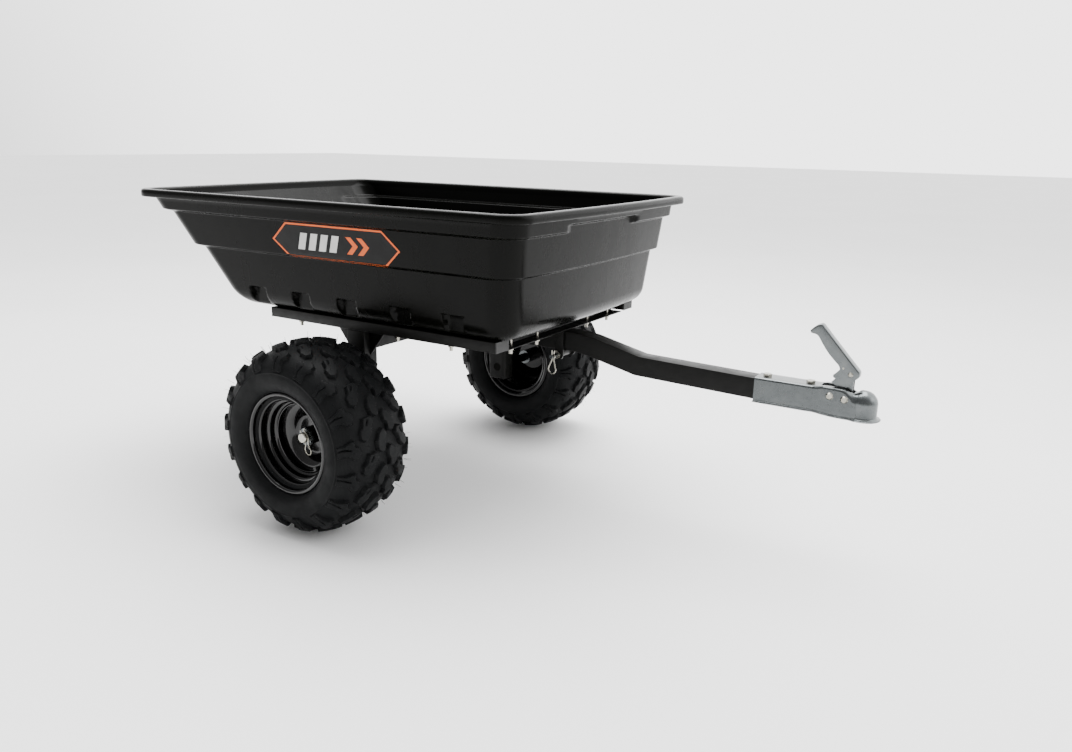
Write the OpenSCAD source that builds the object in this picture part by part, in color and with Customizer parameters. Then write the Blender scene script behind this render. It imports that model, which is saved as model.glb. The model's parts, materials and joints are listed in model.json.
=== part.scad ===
// Two-wheeled tow behind cart with a tipping moulded tub, a steel undercarriage and a ball coupler.
// Millimetres. +X points to the coupler, +Y to the cart's left, +Z up.
// The origin is on the ground, below the middle of the cart's overall box.

/* [Tub] */
// Half the tub's width at the rim
tub_half_w = 438; // [400:1:480]
// Distance from the axle to the rim's front edge at the corners
tub_front = 540; // [480:1:600]
// Distance from the axle to the rim's rear edge at the corners
tub_rear = 682; // [600:1:760]
// Height of the rim's top above the ground
rim_z = 768; // [720:1:840]
// Wall thickness of the moulding
tub_wall = 4.5; // [3.5:0.5:8]
// How far the rim stands out past the wall
rim_out = 24; // [12:1:30]
// Depth of the rim's turned-down edge
rim_h = 20; // [14:1:26]
// Plan radius of the rim's corners
rim_corner_r = 60; // [40:1:90]
// How far the middle of the front and rear edges bows outwards
edge_bow = 10; // [0:1:16]
// Inward step of the wall at each of the two ledges
ledge_step = 13; // [6:1:18]
// Drop from the rim's top to the upper ledge
upper_ledge_drop = 50; // [40:1:70]
// Drop from the rim's top to the lower ledge
lower_ledge_drop = 138; // [110:1:170]

/* [Bed frame] */
// Half the spacing of the rails' outer faces
rail_out_y = 340; // [320:1:346]
// Width of the rail tube
rail_w = 50; // [40:1:56]
// Height of the rail tube
rail_h = 25; // [20:1:30]
// Wall of the rail tube
rail_wall = 2.5; // [2:0.5:4]
// Distance from the axle to the rails' front ends
rail_front = 420; // [380:1:440]
// Distance from the axle to the rails' rear ends
rail_rear = 280; // [220:1:300]
// Radius of the tub bolts' shanks
tub_bolt_r = 4; // [3:0.5:5]
// Distance that the bed hinge lies behind the axle
hinge_back = 75; // [70:1:90]
// Radius of the hinge bolts
hinge_r = 6; // [5:0.5:8]

/* [Wheels] */
// Overall radius of the tyre
tyre_r = 228.5; // [215:0.5:235]
// Half the width of the tyre
tyre_half_w = 113; // [104:1:120]
// Distance from the cart's middle to each wheel's middle
wheel_y = 480; // [472:1:500]
// Outer radius of the rim's flanges
flange_r = 120; // [116:1:124]
// Half the spacing of the rim's flange faces
rim_half_w = 92; // [86:1:98]
// Sheet thickness of the rim
rim_t = 3; // [2.5:0.5:4]
// Radius of the stub axle
axle_r = 12.5; // [10:0.5:14]
// Running clearance between a shaft and its bore
run_gap = 0.08; // [0.04:0.01:0.1]

/* [Undercarriage] */
// Side of the square drawbar tube
bar_w = 48; // [44:1:50]
// Wall of the drawbar tube
bar_wall = 3; // [2.5:0.5:5]
// Drop of the drawbar between its two bends
bar_drop = 37; // [20:1:50]
// Further fall of the drawbar from its front bend to the coupler
bar_fall = 6; // [0:1:10]
// Distance from the axle to the drawbar's rear bend
rear_bend_x = 462; // [440:1:500]
// Distance from the axle to the drawbar's front bend
front_bend_x = 640; // [600:1:680]
// Width of a leg along the cart
leg_w = 56; // [46:1:60]
// Thickness of a leg across the cart
leg_t = 45; // [36:1:46]
// Half the spacing of the legs' outer faces
leg_out_y = 332; // [324:1:334]
// Radius of the latch pin
latch_pin_r = 5; // [4:0.5:6]

/* [Coupler] */
// Distance from the axle to the tow ball's centre
ball_x = 1137; // [1110:1:1180]
// Radius of the tow ball that the socket takes
ball_r = 25; // [23.8:0.1:25.4]
// Wall of the coupler pressing
coupler_wall = 3; // [2.5:0.5:4]

/* [Hidden] */
$fn = 64;
eps = 0.01;

// Places along the cart
coupler_lip_r = ball_r + 12;
overall_front = ball_x + coupler_lip_r;
overall_rear = tub_rear + edge_bow;
axle_x = (overall_rear - overall_front) / 2;

// Heights
axle_z = tyre_r;
floor_z = rim_z - 288;
rail_top = floor_z;
rail_bottom = rail_top - rail_h;
cross_h = rail_h + 5;
cross_bottom = rail_top - cross_h;
bed_gap = 0.5;
bar_top = cross_bottom - bed_gap;
bar_bottom = bar_top - bar_w;
beam_top = rail_bottom - 2;
beam_w = 50;
hinge_z = beam_top - 25;
bend_top = bar_top - bar_drop;
front_bar_top = bend_top - bar_fall;
front_bar_bottom = front_bar_top - bar_w;

// Tub outline
wall_top_z = rim_z - rim_h;
upper_ledge_z = rim_z - upper_ledge_drop;
lower_ledge_z = rim_z - lower_ledge_drop;
ledge_h = 9;
sole_z = floor_z + 18;
side_draft = 0.12;
front_draft = 0.10;
rear_draft = 0.78;
rear_ledge_share = 1.4;
corner_steps = 7;
edge_steps = 4;

// Tub bolts: rows along the front channel and along the rails
front_bolt_x = 395;
front_bolts_y = [-240, -125, 125, 240];
rail_bolts_x = [-200, 120, 280];
rail_bolt_y = rail_out_y - rail_w / 2;
bolt_places = concat(
    [for (y = front_bolts_y) [front_bolt_x, y, cross_bottom]],
    [for (x = rail_bolts_x) for (side = [-1, 1]) [x, side * rail_bolt_y, rail_bottom]]
);
bolt_head_h = 3;
washer_t = 1.6;
nut_h = 6.5;

// Hinge stack
hinge_lug_t = 8;
hinge_plate_t = 6;
hinge_side_gap = 0.4;
hinge_mid_y = 215;
hinge_eye_r = 16;

// Latch
latch_x = 398;
latch_z = 389;
ear_t = 4;
ear_gap_y = bar_w / 2 + 4;
ear_w = 24;
ear_shift = 5;
sleeve_r = latch_pin_r + 4;
latch_pin_near = -62;
latch_pin_far = 48;
clip_wire_r = 1.6;

// Wheel
bead_r = flange_r - 18;
hub_r = axle_r + 9;
hub_in_y = -34;
hub_out_y = 26;
bush_wall = 4;
disc_y = 4;
valve_angle = 330;
well_r = bead_r - 16;
well_y = rim_half_w - 40;
valve_pitch_r = (well_r + bead_r - rim_t) / 2;
stub_end = 44;
clip_tilt = 25;
wheel_clip_y = 37.5;

// Coupler
socket_r = ball_r + 0.4;
cup_r = socket_r + coupler_wall;
ball_z = front_bar_top + coupler_wall + 0.5 - cup_r + 1;
lip_z = ball_z - 34;
body_rear = ball_x - 232;
body_half_w = bar_w / 2 + coupler_wall + 0.3;
body_top = front_bar_top + coupler_wall + 0.3;
body_bottom = front_bar_bottom - 5;
bolts_x = [ball_x - 211, ball_x - 115];
coupler_bolt_r = 5;
rivet_r = 5;
// The cup's wall ends this far behind the ball's centre, which leaves the gap that the clamp works in
jaw_gap_x = 20;
rear_rivet = [ball_x - 67, ball_z + 11];
front_rivet = [ball_x - 36, ball_z + 8];
handle_pivot = [ball_x - 32, ball_z + 60];
handle_pin_r = 3.5;
handle_in_y = 8.5;
handle_t = 2.5;
catch_pivot = handle_pivot + [-16, 12];
catch_pin_r = 2;

// Colours
poly_black = "#1c1c1d";
paint_black = "#242425";
zinc = "#aeb2b6";
bright_zinc = "#c9c7bd";
rubber_black = "#2a2b2e";
gloss_black = "#101011";

module at_axle() {
    translate([axle_x, 0, 0]) children();
}

// ---------- Tub ----------

// Total inward offset of the wall at height z, for a given draft and ledge size
function wall_inset(z, draft, step) =
    (wall_top_z - z) * draft + (z < upper_ledge_z ? step : 0) + (z < lower_ledge_z ? step : 0);

// One plan outline of the tub as a closed ring of points at height z, moved inwards by grow
function ring(z, half_w, front, rear, corner, bow) = concat(
    edge_points([front, -half_w + corner], [front, half_w - corner], [bow, 0], z),
    corner_points([front - corner, half_w - corner], corner, 0, z),
    edge_points([front - corner, half_w], [-rear + corner, half_w], [0, 0], z),
    corner_points([-rear + corner, half_w - corner], corner, 90, z),
    edge_points([-rear, half_w - corner], [-rear, -half_w + corner], [-bow, 0], z),
    corner_points([-rear + corner, -half_w + corner], corner, 180, z),
    edge_points([-rear + corner, -half_w], [front - corner, -half_w], [0, 0], z),
    corner_points([front - corner, -half_w + corner], corner, 270, z)
);
function corner_points(c, r, start, z) =
    [for (i = [0:corner_steps]) let (a = start + 90 * i / corner_steps) [c[0] + r * cos(a), c[1] + r * sin(a), z]];
function edge_points(a, b, bow, z) =
    [for (i = [1:edge_steps - 1]) let (t = i / edge_steps, s = 4 * t * (1 - t))
        [a[0] + (b[0] - a[0]) * t + bow[0] * s, a[1] + (b[1] - a[1]) * t, z]];

// The wall's outline at height z, pushed inwards by inset
function wall_ring(z, inset) = ring(
    z,
    tub_half_w - rim_out - wall_inset(z, side_draft, ledge_step) - inset,
    tub_front - rim_out - wall_inset(z, front_draft, ledge_step) - inset,
    tub_rear - rim_out - wall_inset(z, rear_draft, ledge_step * rear_ledge_share) - inset * 1.2,
    rim_corner_r - inset,
    edge_bow
);
function rim_ring(z, inset) = ring(
    z, tub_half_w - inset, tub_front - inset, tub_rear - inset, rim_corner_r - inset, edge_bow
);

// Heights at which the wall's outline is taken, from the sole up
wall_levels = [
    sole_z, (sole_z + lower_ledge_z) / 2, lower_ledge_z - ledge_h, lower_ledge_z,
    (lower_ledge_z + upper_ledge_z) / 2, upper_ledge_z - ledge_h, upper_ledge_z
];
sole_inset = 22;
outer_rings = concat(
    [wall_ring(floor_z, sole_inset), wall_ring(floor_z + 4, sole_inset / 2.6)],
    [for (z = wall_levels) wall_ring(z, 0)],
    [wall_ring(wall_top_z, 0), rim_ring(wall_top_z, 3), rim_ring(wall_top_z + 4, 0)],
    [rim_ring(rim_z - 4, 0), rim_ring(rim_z, 4)]
);
inner_rings = concat(
    [rim_ring(rim_z, rim_out - 2)],
    [for (i = [len(wall_levels) - 1:-1:0]) wall_ring(wall_levels[i] + 1, tub_wall)],
    [wall_ring(floor_z + tub_wall + 5, tub_wall + sole_inset / 2.6), wall_ring(floor_z + tub_wall, tub_wall + sole_inset)]
);
tub_rings = concat(outer_rings, inner_rings);
ring_size = len(tub_rings[0]);

module tub_shell() {
    last = len(tub_rings) - 1;
    points = [for (r = tub_rings) for (p = r) p];
    sides = [
        for (k = [0:last - 1]) for (i = [0:ring_size - 1])
            let (j = (i + 1) % ring_size, a = k * ring_size, b = a + ring_size)
                [a + i, b + i, b + j, a + j]
    ];
    bottom = [[for (i = [0:ring_size - 1]) i]];
    inside = [[for (i = [ring_size - 1:-1:0]) last * ring_size + i]];
    polyhedron(points, concat(bottom, sides, inside), convexity = 6);
}

module tub() {
    color(poly_black) at_axle() difference() {
        tub_shell();
        for (p = bolt_places)
            translate([p[0], p[1], floor_z - 1]) cylinder(r = tub_bolt_r + 0.3, h = tub_wall + 2);
    }
}

// ---------- Bed frame ----------

module hollow_tube(length, w, h, wall) {
    difference() {
        translate([0, -w / 2, 0]) cube([length, w, h]);
        translate([-1, -w / 2 + wall, wall]) cube([length + 2, w - 2 * wall, h - 2 * wall]);
    }
}

module bolt_holes(r, from_z, to_z) {
    for (p = bolt_places) translate([p[0], p[1], from_z]) cylinder(r = r, h = to_z - from_z);
}

module rail(side) {
    color(paint_black) at_axle() difference() {
        translate([-rail_rear, side * rail_bolt_y, rail_bottom])
            hollow_tube(rail_front + rail_rear, rail_w, rail_h, rail_wall);
        bolt_holes(tub_bolt_r + 0.3, rail_bottom - 1, rail_top + 1);
    }
}
module rail_right() { rail(-1); }
module rail_left() { rail(1); }

module rail_end_caps() {
    cap_t = 3;
    plug = 8;
    color(rubber_black) at_axle()
        for (side = [-1, 1]) for (end = [[rail_front, 1], [-rail_rear, -1]])
            translate([end[0], side * rail_bolt_y, rail_bottom]) {
                translate([end[1] > 0 ? 0 : -cap_t, -rail_w / 2, 0]) cube([cap_t, rail_w, rail_h]);
                translate([end[1] > 0 ? -plug : 0, -rail_w / 2 + rail_wall + 0.2, rail_wall + 0.2])
                    cube([plug, rail_w - 2 * rail_wall - 0.4, rail_h - 2 * rail_wall - 0.4]);
            }
}

// Channel across the cart between the rails, its open side facing along open_dir
module channel(x, depth, h, open_dir) {
    wall = 3;
    length = 2 * (rail_out_y - rail_w);
    translate([x, -length / 2, rail_top - h]) difference() {
        cube([depth, length, h]);
        translate([open_dir > 0 ? wall : -1, -1, wall]) cube([depth - wall + 1, length + 2, h - 2 * wall]);
    }
}

front_channel_d = 34;
front_channel_x = latch_x - 17;
module front_crossmember() {
    color(paint_black) at_axle() difference() {
        channel(front_channel_x, front_channel_d, cross_h, 1);
        bolt_holes(tub_bolt_r + 0.3, cross_bottom - 1, rail_top + 1);
    }
}
module middle_crossmember() {
    color(paint_black) at_axle() channel(-hinge_back - 20, 40, rail_h, -1);
}
module rear_crossmember() {
    color(paint_black) at_axle() channel(-rail_rear + 6, 30, rail_h, -1);
}

// Two ears under the front channel, one on each side of the drawbar
module latch_bracket() {
    ear_top = cross_bottom;
    color(paint_black) at_axle() for (side = [-1, 1]) difference() {
        translate([latch_x, side * (ear_gap_y + ear_t / 2), 0]) rotate([90, 0, 0])
            linear_extrude(ear_t, center = true) union() {
                translate([ear_shift, latch_z]) circle(r = ear_w / 2);
                translate([ear_shift - ear_w / 2, latch_z]) square([ear_w, ear_top - latch_z]);
            }
        translate([latch_x, 0, latch_z]) rotate([90, 0, 0])
            cylinder(r = latch_pin_r + 0.4, h = 4 * bar_w, center = true);
    }
}

module hinge_lugs() {
    x = -hinge_back;
    color(paint_black) at_axle() for (side = [-1, 1]) difference() {
        translate([x, side * hinge_mid_y, 0]) rotate([90, 0, 0]) linear_extrude(hinge_lug_t, center = true) union() {
            translate([0, hinge_z]) circle(r = hinge_eye_r);
            translate([-hinge_eye_r, hinge_z]) square([2 * hinge_eye_r, rail_bottom - hinge_z]);
        }
        translate([x, 0, hinge_z]) rotate([90, 0, 0]) cylinder(r = hinge_r + run_gap, h = 3 * hinge_mid_y, center = true);
    }
}

// ---------- Tub fasteners ----------

module tub_bolts() {
    tail = washer_t + nut_h + 9;
    color(bright_zinc) at_axle() for (p = bolt_places) translate([p[0], p[1], 0]) {
        translate([0, 0, p[2] - tail]) cylinder(r = tub_bolt_r, h = floor_z + tub_wall - p[2] + tail + 1);
        translate([0, 0, floor_z + tub_wall + eps]) cylinder(r1 = 9, r2 = 6, h = bolt_head_h);
    }
}
module tub_bolt_washers() {
    color(zinc) at_axle() for (p = bolt_places) translate([p[0], p[1], p[2] - washer_t]) difference() {
        cylinder(r = 9, h = washer_t);
        translate([0, 0, -1]) cylinder(r = tub_bolt_r + 0.2, h = washer_t + 2);
    }
}
module hex_nut(flats, h, bore) {
    difference() {
        cylinder(r = flats / sqrt(3), h = h, $fn = 6);
        translate([0, 0, -1]) cylinder(r = bore, h = h + 2);
    }
}
module tub_bolt_nuts() {
    color(bright_zinc) at_axle() for (p = bolt_places)
        translate([p[0], p[1], p[2] - washer_t - nut_h]) hex_nut(13, nut_h, tub_bolt_r + 0.05);
}

// ---------- Decals ----------

decal_t = 0.6;
module decal(side) {
    mid_x = -2;
    mid_z = (upper_ledge_z - ledge_h + lower_ledge_z) / 2;
    half_l = 198;
    half_h = 37;
    point = 48;
    wall_y = tub_half_w - rim_out - wall_inset(mid_z, side_draft, ledge_step);
    color("#c8501e") at_axle()
        translate([mid_x, side * (wall_y + decal_t / 2 + 0.25), mid_z]) rotate([-side * atan(side_draft), 0, 0])
            rotate([90, 0, 0]) linear_extrude(decal_t, center = true)
                polygon([
                    [-half_l, 0], [-half_l + point, half_h], [half_l - point, half_h],
                    [half_l, 0], [half_l - point, -half_h], [-half_l + point, -half_h]
                ]);
}
module decal_right() { decal(-1); }
module decal_left() { decal(1); }

// ---------- Undercarriage ----------

// Side outline of the drawbar, shrunk by inset and lengthened by over at each end
module bar_outline(inset, over) {
    x0 = beam_w / 2;
    x1 = body_rear + 130;
    polygon([
        [x0 - over, bar_bottom + inset], [rear_bend_x - 18, bar_bottom + inset],
        [rear_bend_x + 22, bar_bottom - 6 + inset],
        [front_bend_x - 30, bend_top - bar_w + 2 + inset], [front_bend_x + 25, bend_top - bar_w + inset],
        [body_rear, front_bar_bottom + inset], [x1 + over, front_bar_bottom + inset],
        [x1 + over, front_bar_top - inset], [body_rear, front_bar_top - inset],
        [front_bend_x + 25, bend_top - inset], [front_bend_x - 20, bend_top + 1 - inset],
        [rear_bend_x + 30, bar_top - 6 - inset], [rear_bend_x - 12, bar_top - inset], [x0 - over, bar_top - inset]
    ]);
}
module drawbar() {
    color(paint_black) at_axle() difference() {
        rotate([90, 0, 0]) linear_extrude(bar_w, center = true) bar_outline(0, 0);
        rotate([90, 0, 0]) linear_extrude(bar_w - 2 * bar_wall, center = true) bar_outline(bar_wall, 5);
        for (x = bolts_x) translate([x, 0, front_bar_bottom - 5]) cylinder(r = coupler_bolt_r + 0.3, h = bar_w + 10);
    }
}
module drawbar_gussets() {
    color(paint_black) at_axle() for (side = [-1, 1])
        translate([beam_w / 2, side * bar_w / 2, bar_top - 12]) linear_extrude(5)
            polygon([[0, 0], [110, 0], [0, side * 90]]);
}
module axle_beam() {
    wall = 3;
    length = 2 * (leg_out_y - leg_t);
    color(paint_black) at_axle() translate([-beam_w / 2, -length / 2, beam_top - beam_w]) difference() {
        cube([beam_w, length, beam_w]);
        translate([wall, -1, wall]) cube([beam_w - 2 * wall, length + 2, beam_w - 2 * wall]);
    }
}
leg_bottom = axle_z - 36;
module leg(side) {
    wall = 3;
    y0 = side > 0 ? leg_out_y - leg_t : -leg_out_y;
    color(paint_black) at_axle() difference() {
        translate([-leg_w / 2, y0, leg_bottom]) cube([leg_w, leg_t, beam_top - leg_bottom]);
        translate([-leg_w / 2 + wall, y0 + wall, leg_bottom + wall])
            cube([leg_w - 2 * wall, leg_t - 2 * wall, beam_top - leg_bottom - 2 * wall]);
        translate([0, 0, axle_z]) rotate([90, 0, 0]) cylinder(r = axle_r + 0.02, h = 4 * wheel_y, center = true);
    }
}
module leg_right() { leg(-1); }
module leg_left() { leg(1); }

// Triangular webs from each leg up to a plate that runs along below the rail
module leg_gussets() {
    web_t = 6;
    reach = 44;
    drop = 62;
    color(paint_black) at_axle() for (side = [-1, 1]) for (end = [-1, 1])
        translate([end * leg_w / 2, side * (leg_out_y - leg_t / 2), beam_top]) rotate([90, 0, 0])
            linear_extrude(web_t, center = true) polygon([[0, 0], [end * reach, 0], [end * reach, -6], [0, -drop]]);
}
module stub_axle(side) {
    inner = leg_out_y - leg_t;
    outer = wheel_y + stub_end;
    color(bright_zinc) at_axle() translate([0, side * inner, axle_z]) rotate([-side * 90, 0, 0]) difference() {
        union() {
            cylinder(r = axle_r, h = outer - inner - 2);
            translate([0, 0, outer - inner - 2]) cylinder(r1 = axle_r, r2 = axle_r - 2, h = 2);
        }
        translate([0, 0, wheel_y + wheel_clip_y - inner]) rotate([90, 0, 0]) rotate([0, -side * clip_tilt, 0])
            cylinder(r = clip_wire_r + 0.5, h = 4 * axle_r, center = true);
    }
}
module stub_axle_right() { stub_axle(-1); }
module stub_axle_left() { stub_axle(1); }

clevis_out = hinge_lug_t / 2 + hinge_side_gap;
module hinge_clevises() {
    color(paint_black) at_axle() for (side = [-1, 1]) for (cheek = [-1, 1]) difference() {
        translate([0, side * hinge_mid_y + cheek * (clevis_out + hinge_plate_t / 2), 0]) rotate([90, 0, 0])
            linear_extrude(hinge_plate_t, center = true) union() {
                translate([-hinge_back, hinge_z]) circle(r = hinge_eye_r - 2);
                translate([-hinge_back, hinge_z - hinge_eye_r + 2])
                    square([hinge_back - beam_w / 2, 2 * hinge_eye_r - 4]);
            }
        translate([-hinge_back, 0, hinge_z]) rotate([90, 0, 0])
            cylinder(r = hinge_r + 0.15, h = 3 * hinge_mid_y, center = true);
    }
}
hinge_bolt_half = clevis_out + hinge_plate_t;
module hinge_bolts() {
    head_h = 7;
    color(bright_zinc) at_axle() for (side = [-1, 1])
        translate([-hinge_back, side * hinge_mid_y, hinge_z]) rotate([-side * 90, 0, 0]) {
            translate([0, 0, -hinge_bolt_half - 14]) cylinder(r = hinge_r, h = 2 * hinge_bolt_half + 15);
            translate([0, 0, hinge_bolt_half + 0.05]) cylinder(r = 9.5 * 2 / sqrt(3), h = head_h, $fn = 6);
        }
}
module hinge_nuts() {
    color(bright_zinc) at_axle() for (side = [-1, 1])
        translate([-hinge_back, side * (hinge_mid_y - hinge_bolt_half), hinge_z]) rotate([side * 90, 0, 0])
            hex_nut(19, 10, hinge_r + 0.05);
}

// ---------- Latch pin ----------

module along_y(y) {
    translate([0, y, 0]) rotate([-90, 0, 0]) children();
}
module latch_sleeve() {
    half = ear_gap_y - 0.5;
    color(paint_black) at_axle() translate([latch_x, 0, latch_z]) difference() {
        union() {
            along_y(-half) cylinder(r = sleeve_r, h = 2 * half);
            translate([-3, -half, 0]) cube([6, 2 * half, bar_bottom - latch_z]);
        }
        along_y(-half - 1) cylinder(r = latch_pin_r + 0.3, h = 2 * half + 2);
    }
}
module latch_pin() {
    color(zinc) at_axle() translate([latch_x, 0, latch_z]) difference() {
        union() {
            along_y(latch_pin_near) cylinder(r = latch_pin_r, h = latch_pin_far - latch_pin_near);
            along_y(latch_pin_far - eps) cylinder(r = latch_pin_r + 4, h = 4);
        }
        translate([0, latch_pin_near + 7, 0]) cylinder(r = clip_wire_r + 0.4, h = 6 * latch_pin_r, center = true);
    }
}
module washer(r_in, r_out, t) {
    difference() {
        cylinder(r = r_out, h = t);
        translate([0, 0, -1]) cylinder(r = r_in, h = t + 2);
    }
}
module latch_washers() {
    color(bright_zinc) at_axle() translate([latch_x, 0, latch_z]) {
        along_y(-ear_gap_y - ear_t - 2.2) washer(latch_pin_r + 0.3, 10, 2);
        along_y(ear_gap_y + ear_t + 0.2) washer(latch_pin_r + 0.3, 10, 2);
    }
}

// Hairpin clip in the XY plane: a straight leg along +Y through the pin, a round loop, and an arm beside the pin
module hairpin(pin_r, leg, loop_r) {
    arm = pin_r + clip_wire_r + 0.4;
    lean = asin(arm / norm([clip_wire_r, leg])) - atan(clip_wire_r / leg);
    rotate([-90, 0, 0]) translate([0, 0, -leg]) cylinder(r = clip_wire_r, h = leg + pin_r + 6);
    translate([clip_wire_r, -leg, 0]) rotate([-90, 0, -lean]) cylinder(r = clip_wire_r, h = leg + pin_r);
    translate([0, -leg - loop_r + clip_wire_r, 0]) rotate_extrude() translate([loop_r, 0]) circle(r = clip_wire_r, $fn = 24);
}
module latch_clip() {
    color(bright_zinc) at_axle() translate([latch_x, latch_pin_near + 7, latch_z]) rotate([90, 0, 0])
        hairpin(latch_pin_r, 22, 10);
}

// ---------- Wheel retaining parts ----------

module wheel_washers() {
    gap = 0.3;
    color(zinc) at_axle() for (side = [-1, 1]) translate([0, 0, axle_z]) {
        translate([0, side * (wheel_y + hub_in_y - gap), 0]) rotate([side * 90, 0, 0]) washer(axle_r + 0.3, 21, 3);
        for (k = [0, 1]) translate([0, side * (wheel_y + hub_out_y + gap + 3.2 * k), 0]) rotate([-side * 90, 0, 0])
            washer(axle_r + 0.3, 21 - k, 3);
    }
}
module wheel_clips() {
    color(bright_zinc) at_axle() for (side = [-1, 1])
        translate([0, side * (wheel_y + wheel_clip_y), axle_z]) rotate([90, 0, 0]) rotate([0, 0, clip_tilt])
            hairpin(axle_r, 24, 11);
}

// ---------- Coupler ----------

module side_plate(t) {
    rotate([90, 0, 0]) linear_extrude(t, center = true) children();
}
neck_x = ball_x - 108;
module body_side() {
    polygon([
        [body_rear, body_bottom], [neck_x, body_bottom], [ball_x - 60, lip_z + 3], [ball_x, lip_z + 3],
        [ball_x, ball_z + 8], [ball_x - 12, ball_z + 20], [ball_x - 30, body_top + 2],
        [ball_x - 82, body_top + 3], [ball_x - 98, body_top], [body_rear, body_top]
    ]);
}
module body_hollow() {
    w = coupler_wall;
    polygon([
        [body_rear - 5, body_bottom - 5], [neck_x, body_bottom - 5], [ball_x - 60, lip_z - 5],
        [ball_x - jaw_gap_x, lip_z - 5], [ball_x - jaw_gap_x, ball_z + 5],
        [ball_x - 32, body_top + 2 - w], [ball_x - 82, body_top + 3 - w],
        [ball_x - 98, body_top - w], [body_rear - 5, body_top - w]
    ]);
}
// The bottom flange in plan: straight along the drawbar, narrow at the neck, round at the ball
module flange_plan(grow) {
    union() {
        translate([body_rear, -body_half_w - grow]) square([neck_x - body_rear, 2 * (body_half_w + grow)]);
        translate([neck_x - 1, -body_half_w - grow / 2]) square([ball_x - neck_x, 2 * body_half_w + grow]);
    }
}
module coupler_body() {
    flange_t = 3;
    slot_w = 2 * (handle_in_y + handle_t) + 1.6;
    color(zinc) at_axle() difference() {
        union() {
            side_plate(2 * body_half_w) body_side();
            translate([0, 0, body_bottom]) linear_extrude(flange_t) flange_plan(5);
            translate([ball_x, 0, lip_z]) cylinder(r = coupler_lip_r, h = flange_t);
            translate([ball_x, 0, ball_z]) sphere(r = cup_r + 0.4);
            translate([ball_x, 0, lip_z + 1]) cylinder(r = cup_r, h = ball_z - lip_z - 1);
        }
        side_plate(2 * body_half_w - 2 * coupler_wall) body_hollow();
        translate([ball_x, 0, ball_z]) sphere(r = socket_r);
        translate([ball_x, 0, lip_z - 5]) cylinder(r = socket_r - 0.05, h = ball_z - lip_z + 5);
        translate([ball_x - 90, -slot_w / 2, body_top - 12]) cube([70, slot_w, 40]);
        for (x = bolts_x) translate([x, 0, body_bottom - 5]) cylinder(r = coupler_bolt_r + 0.3, h = 90);
        for (p = [rear_rivet, front_rivet]) translate([p[0], 0, p[1]]) rotate([90, 0, 0])
            cylinder(r = rivet_r + 0.1, h = 100, center = true);
    }
}
module coupler_bolts() {
    tail = 10;
    head_h = 6;
    color(bright_zinc) at_axle() for (x = bolts_x) translate([x, 0, 0]) {
        translate([0, 0, front_bar_bottom - tail - washer_t]) cylinder(r = coupler_bolt_r, h = body_top - front_bar_bottom + tail + 2);
        translate([0, 0, body_top + 0.05]) cylinder(r = 17 / sqrt(3), h = head_h, $fn = 6);
    }
}
module coupler_nuts() {
    color(bright_zinc) at_axle() for (x = bolts_x) translate([x, 0, front_bar_bottom - 8.2]) hex_nut(16, 8, coupler_bolt_r + 0.05);
}
module coupler_rivets() {
    half = body_half_w + 0.1;
    color(bright_zinc) at_axle() for (p = [rear_rivet, front_rivet]) translate([p[0], 0, p[1]]) {
        along_y(-half - 1) cylinder(r = rivet_r, h = 2 * half + 2);
        for (side = [-1, 1]) translate([0, side * half, 0]) rotate([-side * 90, 0, 0])
            cylinder(r1 = 8, r2 = 5.5, h = 3);
    }
}

// Side view of the handle, drawn raised, with its pivot at the origin
module handle_side() {
    polygon([
        [-38, -21], [-20, -33], [-6, -30], [6, -15], [18, -4], [18, 7], [-70, 102], [-93, 86],
        [-90, 80], [-83, 79], [-75, 76], [-63, 57], [-46, 36], [-27, 19], [-23, 8], [-28, -8]
    ]);
}
module coupler_handle() {
    color(zinc) at_axle() translate([handle_pivot[0], 0, handle_pivot[1]]) difference() {
        side_plate(2 * (handle_in_y + handle_t)) handle_side();
        side_plate(2 * handle_in_y)
            polygon([[-60, -60], [14, -60], [15, 5], [-71.5, 98], [-87, 86], [-84, 70], [-60, 20]]);
        rotate([90, 0, 0]) cylinder(r = handle_pin_r + run_gap, h = 60, center = true);
        translate([-16, 0, 12]) rotate([90, 0, 0]) cylinder(r = catch_pin_r + 0.02, h = 60, center = true);
    }
}
module handle_pin() {
    half = handle_in_y + handle_t + 0.4;
    color(bright_zinc) at_axle() translate([handle_pivot[0], 0, handle_pivot[1]]) {
        along_y(-half - 1) cylinder(r = handle_pin_r, h = 2 * half + 2);
        for (side = [-1, 1]) translate([0, side * half, 0]) rotate([-side * 90, 0, 0])
            cylinder(r1 = handle_pin_r + 2, r2 = handle_pin_r, h = 1.8);
    }
}
// Strap that stands up through the slot and carries the handle's pin
module handle_hanger() {
    eye_r = 7.5;
    foot = handle_pivot[1] - body_top + 6;
    color(zinc) at_axle() translate([handle_pivot[0], 0, handle_pivot[1]]) difference() {
        for (side = [-1, 1]) translate([0, side * (handle_in_y - 2.2), 0]) side_plate(3) union() {
            circle(r = eye_r);
            translate([-eye_r, -foot]) square([2 * eye_r, foot]);
        }
        rotate([90, 0, 0]) cylinder(r = handle_pin_r + 0.02, h = 60, center = true);
    }
    color(zinc) at_axle() translate([handle_pivot[0] - eye_r, -handle_in_y + 0.7, body_top - 6])
        cube([2 * eye_r, 2 * handle_in_y - 1.4, 3]);
}
module catch_pin() {
    half = handle_in_y + handle_t;
    color(bright_zinc) at_axle() translate([catch_pivot[0], 0, catch_pivot[1]])
        along_y(-half - 0.6) cylinder(r = catch_pin_r, h = 2 * half + 1.2);
}
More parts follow.
